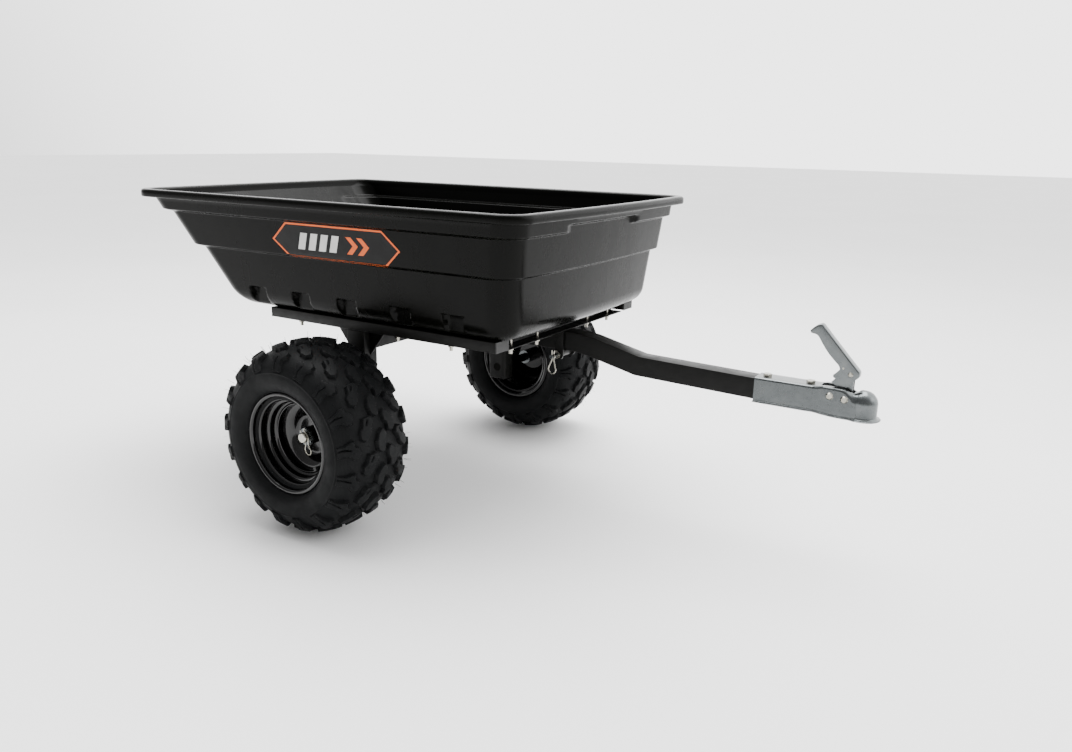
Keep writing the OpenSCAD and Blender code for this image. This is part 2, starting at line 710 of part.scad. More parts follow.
module safety_catch() {
    nose = [-16, -20];
    color(zinc) at_axle() translate([catch_pivot[0], 0, catch_pivot[1]]) difference() {
        side_plate(2 * handle_in_y - 2) union() {
            circle(r = 4.5);
            translate(nose) circle(r = 4.5);
            polygon([[-2.8, 2.2], [2.8, -2.2], nose + [2.8, -2.2], nose + [-2.8, 2.2]]);
        }
        rotate([90, 0, 0]) cylinder(r = catch_pin_r + run_gap, h = 60, center = true);
    }
}
module ball_clamp() {
    color(zinc) at_axle() translate([rear_rivet[0], 0, rear_rivet[1]]) difference() {
        side_plate(15) union() {
            circle(r = 10);
            polygon([[-8, 0], [8, 2], [30, -22], [37, -34], [35, -42], [17, -36], [-4, -16]]);
        }
        rotate([90, 0, 0]) cylinder(r = rivet_r + run_gap, h = 60, center = true);
    }
}
module clamp_spring() {
    color(zinc) at_axle() translate([rear_rivet[0] - 24, 0, rear_rivet[1] + 2]) rotate([90, 0, 0])
        difference() {
            cylinder(r = 7, h = 18, center = true);
            cylinder(r = 4.5, h = 20, center = true);
        }
}

// ---------- Wheel ----------

module wheel_at(side) {
    at_axle() translate([0, side * wheel_y, axle_z]) rotate([-side * 90, 0, 0]) children();
}

tyre_wall_t = 9;
shoulder_r = 34;
module tyre_section() {
    seat = rim_half_w - 10.5;
    lip = rim_half_w - 5.5;
    mid_r = (tyre_r + flange_r) / 2;
    w = tyre_half_w - tyre_wall_t;
    // Half of the outer face, from the bead to the tread's middle, as radius and distance from the middle plane
    outer = [
        [bead_r + 0.5, seat], [flange_r - 6, lip], [flange_r + 1.5, lip], [flange_r + 8, rim_half_w + 4],
        [mid_r, tyre_half_w], [tyre_r - shoulder_r, tyre_half_w - 3], [tyre_r - 8, tyre_half_w - 24],
        [tyre_r, tyre_half_w - 60]
    ];
    inner = [
        [bead_r + 0.5, seat - 14], [flange_r + 4, lip - 12], [mid_r, w], [tyre_r - shoulder_r, w - 6],
        [tyre_r - 20, w - 30], [tyre_r - 18, 0]
    ];
    polygon(concat(
        outer, [for (i = [len(outer) - 1:-1:0]) [outer[i][0], -outer[i][1]]],
        [for (p = inner) [p[0], -p[1]]], [for (i = [len(inner) - 2:-1:0]) inner[i]]
    ));
}
module tyre(side) {
    color(rubber_black) wheel_at(side) rotate_extrude($fn = 96) tyre_section();
}
module tyre_right() { tyre(-1); }
module tyre_left() { tyre(1); }

// Rim section in the wheel's own axes: radius, then distance outwards from the wheel's middle plane
module rim_section() {
    b = bead_r;
    t = rim_t;
    f = flange_r;
    w = rim_half_w;
    union() {
        polygon([
            [f, w - 4], [f, w], [f - 8, w], [b - t, w - 6], [b - t, well_y + t], [well_r - t, well_y + t],
            [well_r - t, 38 - w], [b - t, 30 - w], [b - t, 6 - w], [f - 8, -w], [f, -w], [f, 4 - w],
            [f - 6, 4 - w], [b, 9 - w], [b, 31 - w], [well_r, 44 - w],
            [well_r, well_y], [b, well_y], [b, w - 9], [f - 6, w - 4]
        ]);
        polygon([
            [hub_r, disc_y], [hub_r, disc_y + t], [hub_r + 22, disc_y + t], [hub_r + 30, disc_y + 14],
            [well_r - t + 1.5, disc_y + 20], [well_r - t + 1.5, disc_y + 16], [hub_r + 33, disc_y + 10],
            [hub_r + 24, disc_y]
        ]);
    }
}
module rim(side) {
    color(gloss_black) wheel_at(side) difference() {
        rotate_extrude() rim_section();
        rotate([0, 0, valve_angle]) translate([valve_pitch_r, 0, well_y - 5]) cylinder(r = 4.2, h = rim_t + 10);
    }
}
module rim_right() { rim(-1); }
module rim_left() { rim(1); }

module hub(side) {
    bush_r = axle_r + bush_wall;
    color(gloss_black) wheel_at(side) translate([0, 0, hub_in_y]) difference() {
        cylinder(r = hub_r, h = hub_out_y - hub_in_y);
        translate([0, 0, -1]) cylinder(r = bush_r + 0.02, h = hub_out_y - hub_in_y + 2);
    }
}
module hub_right() { hub(-1); }
module hub_left() { hub(1); }

module bearings(side) {
    bush_l = 22;
    color(bright_zinc) wheel_at(side) for (z = [hub_in_y, hub_out_y - bush_l]) translate([0, 0, z])
        washer(axle_r + run_gap, axle_r + bush_wall, bush_l);
}
module bearings_right() { bearings(-1); }
module bearings_left() { bearings(1); }

module valve_stem(side) {
    color(rubber_black) wheel_at(side) rotate([0, 0, valve_angle]) translate([valve_pitch_r, 0, well_y]) {
        translate([0, 0, -4]) cylinder(r = 6, h = 3.9);
        translate([0, 0, -1]) cylinder(r = 4, h = 24);
        translate([0, 0, rim_t + 0.1]) cylinder(r = 5.5, h = 8);
    }
}
module valve_stem_right() { valve_stem(-1); }
module valve_stem_left() { valve_stem(1); }
module valve_cap(side) {
    color(rubber_black) wheel_at(side) rotate([0, 0, valve_angle]) translate([valve_pitch_r, 0, well_y + 23.1])
        cylinder(r = 4.6, h = 9);
}
module valve_cap_right() { valve_cap(-1); }
module valve_cap_left() { valve_cap(1); }

tub();
rail_right();
rail_left();
rail_end_caps();
front_crossmember();
middle_crossmember();
rear_crossmember();
latch_bracket();
hinge_lugs();
tub_bolts();
tub_bolt_washers();
tub_bolt_nuts();
decal_right();
decal_left();
drawbar();
drawbar_gussets();
axle_beam();
leg_right();
leg_left();
leg_gussets();
stub_axle_right();
stub_axle_left();
hinge_clevises();
hinge_bolts();
hinge_nuts();
latch_sleeve();
latch_pin();
latch_washers();
latch_clip();
wheel_washers();
wheel_clips();
coupler_body();
coupler_bolts();
coupler_nuts();
coupler_rivets();
clamp_spring();
handle_hanger();
handle_pin();
coupler_handle();
catch_pin();
safety_catch();
ball_clamp();
tyre_right();
rim_right();
hub_right();
bearings_right();
valve_stem_right();
valve_cap_right();
tyre_left();
rim_left();
hub_left();
bearings_left();
valve_stem_left();
valve_cap_left();
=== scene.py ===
"""Looks of the tow behind cart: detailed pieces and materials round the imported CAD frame.

Metres, +X to the coupler, +Y to the cart's left, +Z up.
"""
import json
import math

import bmesh
import bpy
import numpy as np
from mathutils import Matrix, Vector


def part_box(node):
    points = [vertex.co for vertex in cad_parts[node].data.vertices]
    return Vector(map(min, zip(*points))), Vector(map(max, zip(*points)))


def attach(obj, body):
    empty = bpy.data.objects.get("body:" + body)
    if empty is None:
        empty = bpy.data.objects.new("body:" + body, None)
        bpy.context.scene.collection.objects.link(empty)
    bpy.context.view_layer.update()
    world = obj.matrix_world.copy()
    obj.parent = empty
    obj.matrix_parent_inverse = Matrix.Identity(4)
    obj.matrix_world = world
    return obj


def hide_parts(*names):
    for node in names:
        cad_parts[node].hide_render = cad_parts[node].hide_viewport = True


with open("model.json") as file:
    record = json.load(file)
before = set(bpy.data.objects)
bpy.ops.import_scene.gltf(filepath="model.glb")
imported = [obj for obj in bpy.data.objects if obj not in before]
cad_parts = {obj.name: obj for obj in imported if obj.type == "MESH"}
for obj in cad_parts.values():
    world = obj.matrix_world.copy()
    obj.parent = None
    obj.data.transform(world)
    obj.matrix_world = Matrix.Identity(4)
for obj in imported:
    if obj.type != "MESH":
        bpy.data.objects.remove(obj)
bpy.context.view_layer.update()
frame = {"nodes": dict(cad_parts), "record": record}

# ---------- Places taken from the CAD frame ----------

AXLE_LOW, AXLE_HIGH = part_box("axle_beam")
AX = (AXLE_LOW.x + AXLE_HIGH.x) / 2
TUB_LOW, TUB_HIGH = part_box("tub")
TYRE_LOW, TYRE_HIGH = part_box("tyre_right")
AXLE_Z = (TYRE_LOW.z + TYRE_HIGH.z) / 2
TYRE_R = (TYRE_HIGH.z - TYRE_LOW.z) / 2
TYRE_HALF_W = (TYRE_HIGH.y - TYRE_LOW.y) / 2
WHEEL_Y = -(TYRE_HIGH.y + TYRE_LOW.y) / 2
RIM_LOW, RIM_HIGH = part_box("rim_right")
FLANGE_R = (RIM_HIGH.z - RIM_LOW.z) / 2
RIM_HALF_W = (RIM_HIGH.y - RIM_LOW.y) / 2
AXLE_PAINT_END = WHEEL_Y
SLOT_OF = {part["node"]: part["material_slot"] for part in frame["record"]["subparts"]}
BODY_OF = {node: body for body, nodes in frame["record"]["behaviour"]["bodies"].items() for node in nodes}


# ---------- Small helpers ----------

def material(name, build):
    """A node material whose look is made by build(helper)."""
    mat = bpy.data.materials.new(name)
    mat.use_nodes = True
    mat.node_tree.nodes.clear()
    build(Nodes(mat.node_tree))
    return mat


class Nodes:
    """Short names for the shader nodes that the materials use."""

    def __init__(self, tree):
        self.tree = tree
        self.out = tree.nodes.new("ShaderNodeOutputMaterial")
        self.shader = tree.nodes.new("ShaderNodeBsdfPrincipled")
        tree.links.new(self.shader.outputs[0], self.out.inputs["Surface"])
        self.coords = tree.nodes.new("ShaderNodeTexCoord").outputs["Object"]
        self.normal = None

    def new(self, kind, **values):
        node = self.tree.nodes.new(kind)
        for key, value in values.items():
            setattr(node, key, value)
        return node

    def link(self, source, target):
        self.tree.links.new(source, target)

    def stretch(self, scale):
        """The object's coordinates, scaled along each axis."""
        node = self.new("ShaderNodeMapping")
        node.inputs["Scale"].default_value = scale
        self.link(self.coords, node.inputs["Vector"])
        return node.outputs[0]

    def noise(self, scale, detail=3.0, roughness=0.55, coords=None):
        node = self.new("ShaderNodeTexNoise")
        node.inputs["Scale"].default_value = scale
        node.inputs["Detail"].default_value = detail
        node.inputs["Roughness"].default_value = roughness
        self.link(coords or self.coords, node.inputs["Vector"])
        return node.outputs["Fac"]

    def cells(self, scale, coords=None):
        node = self.new("ShaderNodeTexVoronoi")
        node.inputs["Scale"].default_value = scale
        self.link(coords or self.coords, node.inputs["Vector"])
        return node.outputs["Distance"]

    def ramp(self, fac, stops):
        """Colours or greys at places from 0 to 1 along fac."""
        node = self.new("ShaderNodeValToRGB")
        set_ramp(node.color_ramp, stops)
        self.link(fac, node.inputs["Fac"])
        return node.outputs["Color"]

    def spread(self, fac, first, second):
        """From first to second over the middle of fac, where most of a noise lies."""
        return self.ramp(fac, [(0.3, first), (0.7, second)])

    def mix(self, fac, first, second):
        node = self.new("ShaderNodeMix", data_type="RGBA")
        for socket, value in ((node.inputs[0], fac), (node.inputs[6], first), (node.inputs[7], second)):
            if hasattr(value, "links"):
                self.link(value, socket)
            else:
                socket.default_value = value if isinstance(value, (int, float)) else (*value, 1)
        return node.outputs[2]

    def between_y(self, limit):
        """1 where the point lies within limit of the object's middle plane, 0 outside it."""
        split = self.new("ShaderNodeSeparateXYZ")
        self.link(self.coords, split.inputs[0])
        size = self.new("ShaderNodeMath", operation="ABSOLUTE")
        self.link(split.outputs["Y"], size.inputs[0])
        test = self.new("ShaderNodeMath", operation="LESS_THAN")
        self.link(size.outputs[0], test.inputs[0])
        test.inputs[1].default_value = limit
        return test.outputs[0]

    def colour(self, socket):
        self.link(socket, self.shader.inputs["Base Color"])

    def rough(self, socket):
        self.link(socket, self.shader.inputs["Roughness"])

    def bump(self, height, strength, distance):
        node = self.new("ShaderNodeBump")
        node.inputs["Strength"].default_value = strength
        node.inputs["Distance"].default_value = distance
        self.link(height, node.inputs["Height"])
        if self.normal is not None:
            self.link(self.normal, node.inputs["Normal"])
        self.normal = node.outputs[0]
        self.link(self.normal, self.shader.inputs["Normal"])

    def set(self, **values):
        for key, value in values.items():
            self.shader.inputs[key.replace("_", " ")].default_value = value


def add_piece(name, verts, faces, body, slot, replaces=(), sharp=35.0):
    """A mesh piece that rides on a CAD body and takes the place of the nodes in replaces."""
    mesh = bpy.data.meshes.new(name)
    mesh.from_pydata([tuple(map(float, v)) for v in verts], [], [tuple(map(int, f)) for f in faces])
    mesh.validate()
    shade(mesh, sharp)
    place_piece(name, mesh, body, slot, replaces)


def shade(mesh, sharp):
    """Smooth shading that breaks at edges turned by more than sharp degrees."""
    mesh.polygons.foreach_set("use_smooth", [True] * len(mesh.polygons))
    mesh.update()
    mesh.set_sharp_from_angle(angle=math.radians(sharp))


def add_object(name, data):
    item = bpy.data.objects.new(name, data)
    bpy.context.scene.collection.objects.link(item)
    return item


def mesh_of(bm, name):
    """The bmesh as a new mesh. The bmesh is freed."""
    mesh = bpy.data.meshes.new(name)
    bm.to_mesh(mesh)
    bm.free()
    return mesh


def set_ramp(ramp, stops):
    """Sets the ramp to colours or greys at places from 0 to 1."""
    while len(ramp.elements) < len(stops):
        ramp.elements.new(0.5)
    for element, (place, colour) in zip(ramp.elements, stops):
        element.position = place
        grey = isinstance(colour, (int, float))
        element.color = (colour, colour, colour, 1) if grey else (*colour, 1)


def place_piece(name, mesh, body, slot, replaces=(), mat=None):
    """Puts the mesh into the scene as a piece of the body, with its slot's material unless mat is given."""
    piece = add_object(name, mesh)
    mesh.materials.clear()
    mesh.materials.append(mat or MAT[slot])
    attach(piece, body)
    if replaces:
        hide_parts(*replaces)


def bridge_rings(count, size, closed_ends=(False, False), closed_loop=False):
    """Faces between count rings of size points each."""
    faces = []
    last = count if closed_loop else count - 1
    for k in range(last):
        a, b = k * size, ((k + 1) % count) * size
        for i in range(size):
            j = (i + 1) % size
            faces.append((a + i, a + j, b + j, b + i))
    if closed_ends[0]:
        faces.append(tuple(range(size - 1, -1, -1)))
    if closed_ends[1]:
        faces.append(tuple(range((count - 1) * size, count * size)))
    return faces


def end_strips(count, size):
    """Faces that close both ends of a folded sheet, whose rings run out on one face and back on the other."""
    faces = []
    for base, turn in ((0, 1), (size * (count - 1), -1)):
        for k in range(size // 2 - 1):
            faces.append((base + k, base + size - 1 - k, base + size - 2 - k, base + k + 1)[::turn])
    return faces


def curve_point(points, k, t):
    """The point at share t between point k and the next one, on a rounded curve through all of them."""
    p0, p1, p2, p3 = points[max(k - 1, 0)], points[k], points[k + 1], points[min(k + 2, len(points) - 1)]
    return 0.5 * (2 * p1 + (p2 - p0) * t + (2 * p0 - 5 * p1 + 4 * p2 - p3) * t * t
                  + (3 * p1 - p0 - 3 * p2 + p3) * t ** 3)


def smooth_profile(points, spacing):
    """A rounded curve through the points, sampled about every spacing."""
    pts = [np.array(p, float) for p in points]
    out = []
    for k in range(len(pts) - 1):
        n = max(1, int(round(np.linalg.norm(pts[k + 1] - pts[k]) / spacing)))
        out += [curve_point(pts, k, i / n) for i in range(n)]
    out.append(pts[-1])
    return np.array(out)


def smoothstep(value, low, high):
    """0 below low, 1 above high, eased between them."""
    t = np.clip((value - low) / (high - low), 0.0, 1.0)
    return t * t * (3 - 2 * t)


# ---------- Materials ----------

def moulded_poly(n):
    n.set(Specular_IOR_Level=0.07)
    patches = n.noise(3.0, 4.0)
    n.colour(n.spread(patches, (0.0008, 0.0009, 0.0006), (0.0016, 0.0017, 0.0012)))
    haze = n.noise(14.0, 5.0, 0.65, n.stretch((1.0, 1.0, 0.35)))
    n.rough(n.spread(haze, 0.20, 0.31))
    n.bump(n.cells(1500.0), 0.10, 0.0002)
    n.bump(n.noise(9.0, 2.0), 0.18, 0.0030)


def frame_paint(n):
    n.set(Specular_IOR_Level=0.14)
    tone = n.noise(20.0, 4.0)
    base = n.spread(tone, (0.0022, 0.0022, 0.0020), (0.0045, 0.0045, 0.0040))
    scuffs = n.ramp(n.noise(160.0, 6.0, 0.7, n.stretch((0.2, 1.0, 1.0))), [(0.66, 0.0), (0.74, 0.25)])
    n.colour(n.mix(scuffs, base, (0.035, 0.035, 0.034)))
    n.rough(n.spread(n.noise(45.0, 4.0), 0.34, 0.5))
    n.bump(n.noise(900.0, 2.0), 0.12, 0.0003)


def gloss_enamel(n):
    n.set(Specular_IOR_Level=0.3, Coat_Weight=0.22, Coat_Roughness=0.04)
    dust = n.ramp(n.noise(60.0, 5.0, 0.7), [(0.5, 0.0), (0.9, 0.5)])
    n.colour(n.mix(dust, (0.0016, 0.0016, 0.0017), (0.006, 0.006, 0.006)))
    n.rough(n.ramp(n.noise(30.0, 4.0), [(0.3, 0.08), (0.8, 0.18)]))
    n.bump(n.noise(700.0, 2.0), 0.04, 0.0003)


def tyre_rubber(n):
    n.set(Specular_IOR_Level=0.09)
    tone = n.noise(9.0, 5.0, 0.6)
    base = n.spread(tone, (0.0032, 0.0035, 0.0037), (0.0056, 0.0060, 0.0063))
    dust = n.ramp(n.noise(130.0, 6.0, 0.75), [(0.6, 0.0), (0.85, 0.35)])
    n.colour(n.mix(dust, base, (0.020, 0.021, 0.021)))
    n.rough(n.spread(n.noise(40.0, 4.0), 0.48, 0.66))
    n.bump(n.noise(1100.0, 3.0), 0.2, 0.0003)
    n.bump(n.noise(60.0, 3.0), 0.12, 0.001)


def rubber_trim(n):
    tone = n.noise(50.0, 3.0)
    n.colour(n.spread(tone, (0.006, 0.006, 0.006), (0.012, 0.012, 0.012)))
    n.rough(n.spread(tone, 0.55, 0.7))
    n.bump(n.noise(1300.0, 2.0), 0.2, 0.0002)


def zinc_plate(n):
    n.set(Metallic=1.0)
    cloud = n.noise(35.0, 5.0, 0.65)
    greys = [(0.25, (0.108, 0.117, 0.119)), (0.55, (0.125, 0.134, 0.136)), (0.8, (0.148, 0.154, 0.150))]
    n.colour(n.ramp(cloud, greys))
    n.rough(n.spread(n.noise(60.0, 5.0, 0.7), 0.20, 0.32))
    n.bump(n.noise(500.0, 4.0, 0.6), 0.05, 0.0003)
    n.bump(n.noise(45.0, 2.0), 0.08, 0.0010)


def bright_zinc(n):
    n.set(Metallic=1.0)
    cloud = n.noise(90.0, 4.0)
    n.colour(n.spread(cloud, (0.28, 0.27, 0.23), (0.40, 0.385, 0.34)))
    n.rough(n.spread(n.noise(200.0, 4.0), 0.2, 0.34))
    n.bump(n.noise(900.0, 3.0), 0.15, 0.0002)


def turned_steel(n):
    n.set(Metallic=1.0)
    rings = n.noise(500.0, 2.0, 0.5, n.stretch((0.05, 1.0, 0.05)))
    steel = n.spread(rings, (0.34, 0.33, 0.29), (0.46, 0.45, 0.40))
    n.colour(n.mix(n.between_y(AXLE_PAINT_END), steel, (0.0035, 0.0035, 0.0032)))
    n.rough(n.spread(rings, 0.26, 0.4))
    n.bump(rings, 0.15, 0.0002)


def printed_film(colour):
    def build(n):
        n.set(Specular_IOR_Level=0.12)
        fade = n.noise(25.0, 4.0)
        paler = tuple(min(1.0, c * 1.12 + 0.004) for c in colour)
        n.colour(n.spread(fade, colour, paler))
        n.rough(n.spread(n.noise(120.0, 3.0), 0.3, 0.42))
        n.bump(n.noise(1200.0, 2.0), 0.06, 0.0002)
    return build


MAT = {
    "tub_plastic": material("moulded_poly", moulded_poly),
    "frame_paint": material("frame_paint", frame_paint),
    "end_cap_plastic": material("end_cap_plastic", rubber_trim),
    "zinc_plate": material("zinc_plate", zinc_plate),
    "bright_fastener": material("bright_zinc", bright_zinc),
    "axle_steel": material("turned_steel", turned_steel),
    "decal_print": material("decal_orange", printed_film((0.72, 0.13, 0.03))),
    "tyre_rubber": material("tyre_rubber", tyre_rubber),
    "rim_paint": material("gloss_enamel", gloss_enamel),
    "valve_rubber": material("valve_rubber", rubber_trim),
}
DECAL_WHITE = material("decal_white", printed_film((0.62, 0.62, 0.60)))
DECAL_BLACK = material("decal_black", printed_film((0.0035, 0.0035, 0.0035)))


def paint_cad_nodes():
    """Every CAD node gets the material of its slot."""
    for node, slot in SLOT_OF.items():
        materials = frame["nodes"][node].data.materials
        materials.clear()
        materials.append(MAT[slot])


# ---------- Tub ----------

RIM_TOP = TUB_HIGH.z
FLOOR_Z = TUB_LOW.z
HALF_W = TUB_HIGH.y
EDGE_BOW = 0.010
TUB_FRONT = TUB_HIGH.x - AX - EDGE_BOW
TUB_REAR = AX - TUB_LOW.x - EDGE_BOW
RIM_OUT = 0.024
CORNER_R = 0.060
WALL_TOP = RIM_TOP - 0.020
UPPER_LEDGE = RIM_TOP - 0.050
LOWER_LEDGE = RIM_TOP - 0.138
LEDGE = 0.013
LEDGE_H = 0.007
REAR_SHARE = 1.4
DRAFT = {"side": 0.12, "front": 0.10, "rear": 0.78}
SOLE_R = 0.040
SKIN = 0.0045
NOTCH_X = (-0.305, -0.152, 0.002, 0.168, 0.319)
NOTCH_HALF = 0.027
NOTCH_TOP = 0.534
NOTCH_DEEP = 0.015
GRIP_TOP = RIM_TOP - 0.033
GRIP_RIGHT = -0.205
GRIP_LEFT = 0.142
CHUTE_HALF = 0.285
# The rim's outer curve as distance out from the wall and height over its top
FLARE = [(0.0010, -0.0010), (0.0040, 0.0003), (0.0150, 0.0008), (0.0195, -0.0004), (0.0222, 0.0002),
         (0.0236, 0.0022)]
CROWN = [(0.0240, 0.0050), (0.0240, 0.0120), (0.0232, 0.0158), (0.0208, 0.0186), (0.0165, 0.0199),
         (0.0100, 0.0200), (0.0030, 0.0192), (-0.0015, 0.0176), (-0.0038, 0.0145), (-0.0045, 0.0100)]
SIDE_STEPS = 190
END_STEPS = 66
CORNER_STEPS = 12


def ledge_below(z, top):
    """1 below a ledge, 0 above it."""
    return 1 - smoothstep(z, top - LEDGE_H, top)


def wall_inset(z, draft, step):
    """How far the wall has moved in at height z, by its slope and by both ledges."""
    drop = (WALL_TOP - z) * draft
    return drop + step * (ledge_below(z, UPPER_LEDGE) + ledge_below(z, LOWER_LEDGE))


def sole_inset(z, foot, radius):
    """How far the rounded foot of the wall has moved in at height z."""
    lift = np.clip(radius - (z - foot), 0.0, radius)
    return radius - np.sqrt(radius * radius - lift * lift)


def tub_outline(front, rear, half_w, corner, bow):
    """Plan outline as an array of x, y and outward normal, and the number of the edge each point is on."""
    def edge(a, b, n, normal, number, bulge):
        t = np.arange(1, n) / n
        x = a[0] + (b[0] - a[0]) * t + bulge * 4 * t * (1 - t)
        y = a[1] + (b[1] - a[1]) * t
        one = np.ones_like(t)
        return np.stack([x, y, normal[0] * one, normal[1] * one, number * one], 1)

    def turn(cx, cy, start):
        a = np.radians(start + 90.0 * np.arange(CORNER_STEPS + 1) / CORNER_STEPS)
        return np.stack([cx + corner * np.cos(a), cy + corner * np.sin(a), np.cos(a), np.sin(a), 9 + 0 * a], 1)

    f, r, w, c = front, -rear, half_w, corner
    return np.concatenate([
        edge((f, -w + c), (f, w - c), END_STEPS, (1, 0), 0, bow),
        turn(f - c, w - c, 0),
        edge((f - c, w), (r + c, w), SIDE_STEPS, (0, 1), 1, 0),
        turn(r + c, w - c, 90),
        edge((r, w - c), (r, -w + c), END_STEPS, (-1, 0), 2, -bow),
        turn(r + c, -w + c, 180),
        edge((r + c, -w), (f - c, -w), SIDE_STEPS, (0, -1), 3, 0),
        turn(f - c, -w + c, 270),
    ])


def local_inset(points, z, foot, radius):
    """Extra inward offset at each point: front grip recess, rear chute and side notches."""
    x, y, edge = points[:, 0], points[:, 1], points[:, 4]
    grip = smoothstep(y, GRIP_RIGHT, GRIP_RIGHT + 0.025) * (1 - smoothstep(y, GRIP_LEFT - 0.014, GRIP_LEFT))
    recess = LEDGE * (ledge_below(z, GRIP_TOP) - ledge_below(z, UPPER_LEDGE))
    extra = np.where(edge == 0, grip * recess, 0.0)

    step = LEDGE * REAR_SHARE
    whole = WALL_TOP - FLOOR_Z
    smooth_wall = (WALL_TOP - z) * (DRAFT["rear"] + 2 * step / whole)
    chute = 1 - smoothstep(np.abs(y), CHUTE_HALF, CHUTE_HALF + 0.035)
    extra += np.where(edge == 2, chute * (smooth_wall - wall_inset(z, DRAFT["rear"], step)), 0.0)

    near = np.min(np.abs(x[:, None] - np.array(NOTCH_X)[None, :]), axis=1)
    cut = 1 - smoothstep(near, NOTCH_HALF - 0.004, NOTCH_HALF + 0.002)
    depth = NOTCH_DEEP * (1 - smoothstep(z, NOTCH_TOP - 0.005, NOTCH_TOP)) - sole_inset(z, foot, radius)
    return extra + np.where((edge == 1) | (edge == 3), cut * max(0.0, depth), 0.0)


def wall_points(z, skin, foot, radius):
    """The wall's outline at height z, moved in by skin."""
    sole = float(sole_inset(z, foot, radius))
    inset = skin + sole
    rear_inset = wall_inset(z, DRAFT["rear"], LEDGE * REAR_SHARE) + skin * 1.2 + sole * 1.2
    points = tub_outline(
        TUB_FRONT - RIM_OUT - wall_inset(z, DRAFT["front"], LEDGE) - inset,
        TUB_REAR - RIM_OUT - rear_inset,
        HALF_W - RIM_OUT - wall_inset(z, DRAFT["side"], LEDGE) - inset,
        max(0.018, CORNER_R - inset), EDGE_BOW,
    )
    extra = local_inset(points, z, foot, radius)
    x = AX + points[:, 0] - points[:, 2] * extra
    y = points[:, 1] - points[:, 3] * extra
    return np.stack([x, y, 0 * extra + z], 1)


def rim_points(z, out):
    """The rim's outline at height z, out metres beyond the wall."""
    gone = RIM_OUT - out
    points = tub_outline(TUB_FRONT - gone, TUB_REAR - gone, HALF_W - gone, CORNER_R - gone, EDGE_BOW)
    return np.stack([AX + points[:, 0], points[:, 1], 0 * points[:, 0] + z], 1)


def wall_levels(foot, radius, top):
    """Heights of the wall's rings: close together where the shape turns."""
    sole = [foot + radius * (1 - math.cos(math.radians(a))) for a in range(0, 91, 9)]
    plain = list(np.arange(0.47, top, 0.012))
    notch = list(np.arange(NOTCH_TOP - 0.006, NOTCH_TOP + 0.002, 0.0015))
    steps = [t - LEDGE_H + LEDGE_H * k / 5 for t in (LOWER_LEDGE, UPPER_LEDGE, GRIP_TOP) for k in range(-1, 7)]
    levels = sorted(z for z in sole + plain + notch + steps + [top] if foot <= z <= top)
    kept = [levels[0]]
    for z in levels[1:]:
        if z - kept[-1] > 0.0007:
            kept.append(z)
    return kept


def shrink(ring, share):
    """The ring drawn towards its middle, for the sole and the floor."""
    middle = np.array([ring[:, 0].mean(), 0.0, ring[0, 2]])
    return middle + (ring - middle) * share


def build_tub():
    inner_foot = FLOOR_Z + SKIN
    inner_sole = SOLE_R - SKIN
    outer_levels = wall_levels(FLOOR_Z, SOLE_R, WALL_TOP - 0.002)
    outer = [wall_points(z, 0.0, FLOOR_Z, SOLE_R) for z in outer_levels]
    rim = [rim_points(WALL_TOP + dz, out) for out, dz in FLARE + CROWN]
    inner_levels = wall_levels(inner_foot, inner_sole, WALL_TOP)
    inner = [wall_points(z, SKIN, inner_foot, inner_sole) for z in inner_levels]
    sole = [shrink(outer[0], s) for s in (0.55, 0.85)]
    floor = [shrink(inner[0], s) for s in (0.85, 0.55)]
    rings = sole + outer + rim + inner[::-1] + floor
    verts = np.concatenate(rings)
    faces = bridge_rings(len(rings), len(rings[0]), (True, True))
    add_piece("tub_moulding", verts, faces, "bed", "tub_plastic", ("tub",), 50.0)


# ---------- Wheels ----------

LUGS = 17
LUG_H = 0.0100
LUG_STEPS = 40
SECTION_STEP = 0.0021
CARCASS_R = TYRE_R - LUG_H
# The tyre's section as radius and distance out: outside to the bead, then inside from the bead
OUTER_HALF = [
    (CARCASS_R, 0.0), (CARCASS_R - 0.0010, 0.030), (CARCASS_R - 0.0050, 0.056), (CARCASS_R - 0.0140, 0.079),
    (0.1900, 0.0970), (0.1740, 0.1060), (0.1600, 0.1092), (0.1440, 0.1078), (0.1320, 0.1030), (0.1250, 0.0965),
    (0.1218, 0.0905), (0.1190, 0.0860), (0.1120, 0.0850), (0.1030, 0.0815),
]
INNER_HALF = [(0.1030, 0.070), (0.1240, 0.074), (0.165, 0.098), (0.195, 0.088), (0.206, 0.05), (0.207, 0.0)]
# The raised ring on the sidewall: its distance along the section, height and width
RING_S, RING_H, RING_W = 0.1265, 0.0013, 0.0015
# Lug outlines in one pitch: distance round the tread, then distance along the tyre's section from its middle
SIDE_LUG = [(0.005, 0.122), (0.012, 0.106), (0.012, 0.096), (0.003, 0.088), (0.006, 0.076), (0.022, 0.070),
            (0.032, 0.075), (0.035, 0.082), (0.047, 0.083), (0.048, 0.092), (0.040, 0.104), (0.036, 0.122)]
MID_LUG = [(0.038, 0.058), (0.046, 0.069), (0.064, 0.068), (0.072, 0.060), (0.090, 0.054), (0.092, 0.034),
           (0.078, 0.028), (0.070, 0.036), (0.056, 0.040), (0.048, 0.046)]
CENTRE_LUG = [(0.004, 0.018), (0.014, 0.030), (0.034, 0.031), (0.050, 0.022), (0.058, 0.008), (0.048, 0.000),
              (0.032, 0.001), (0.024, 0.007), (0.008, 0.008)]
SIPES = [((0.025, 0.121), (0.030, 0.106), (0.028, 0.092)), ((0.074, 0.050), (0.084, 0.044))]
SIPE_SHARE = 0.45
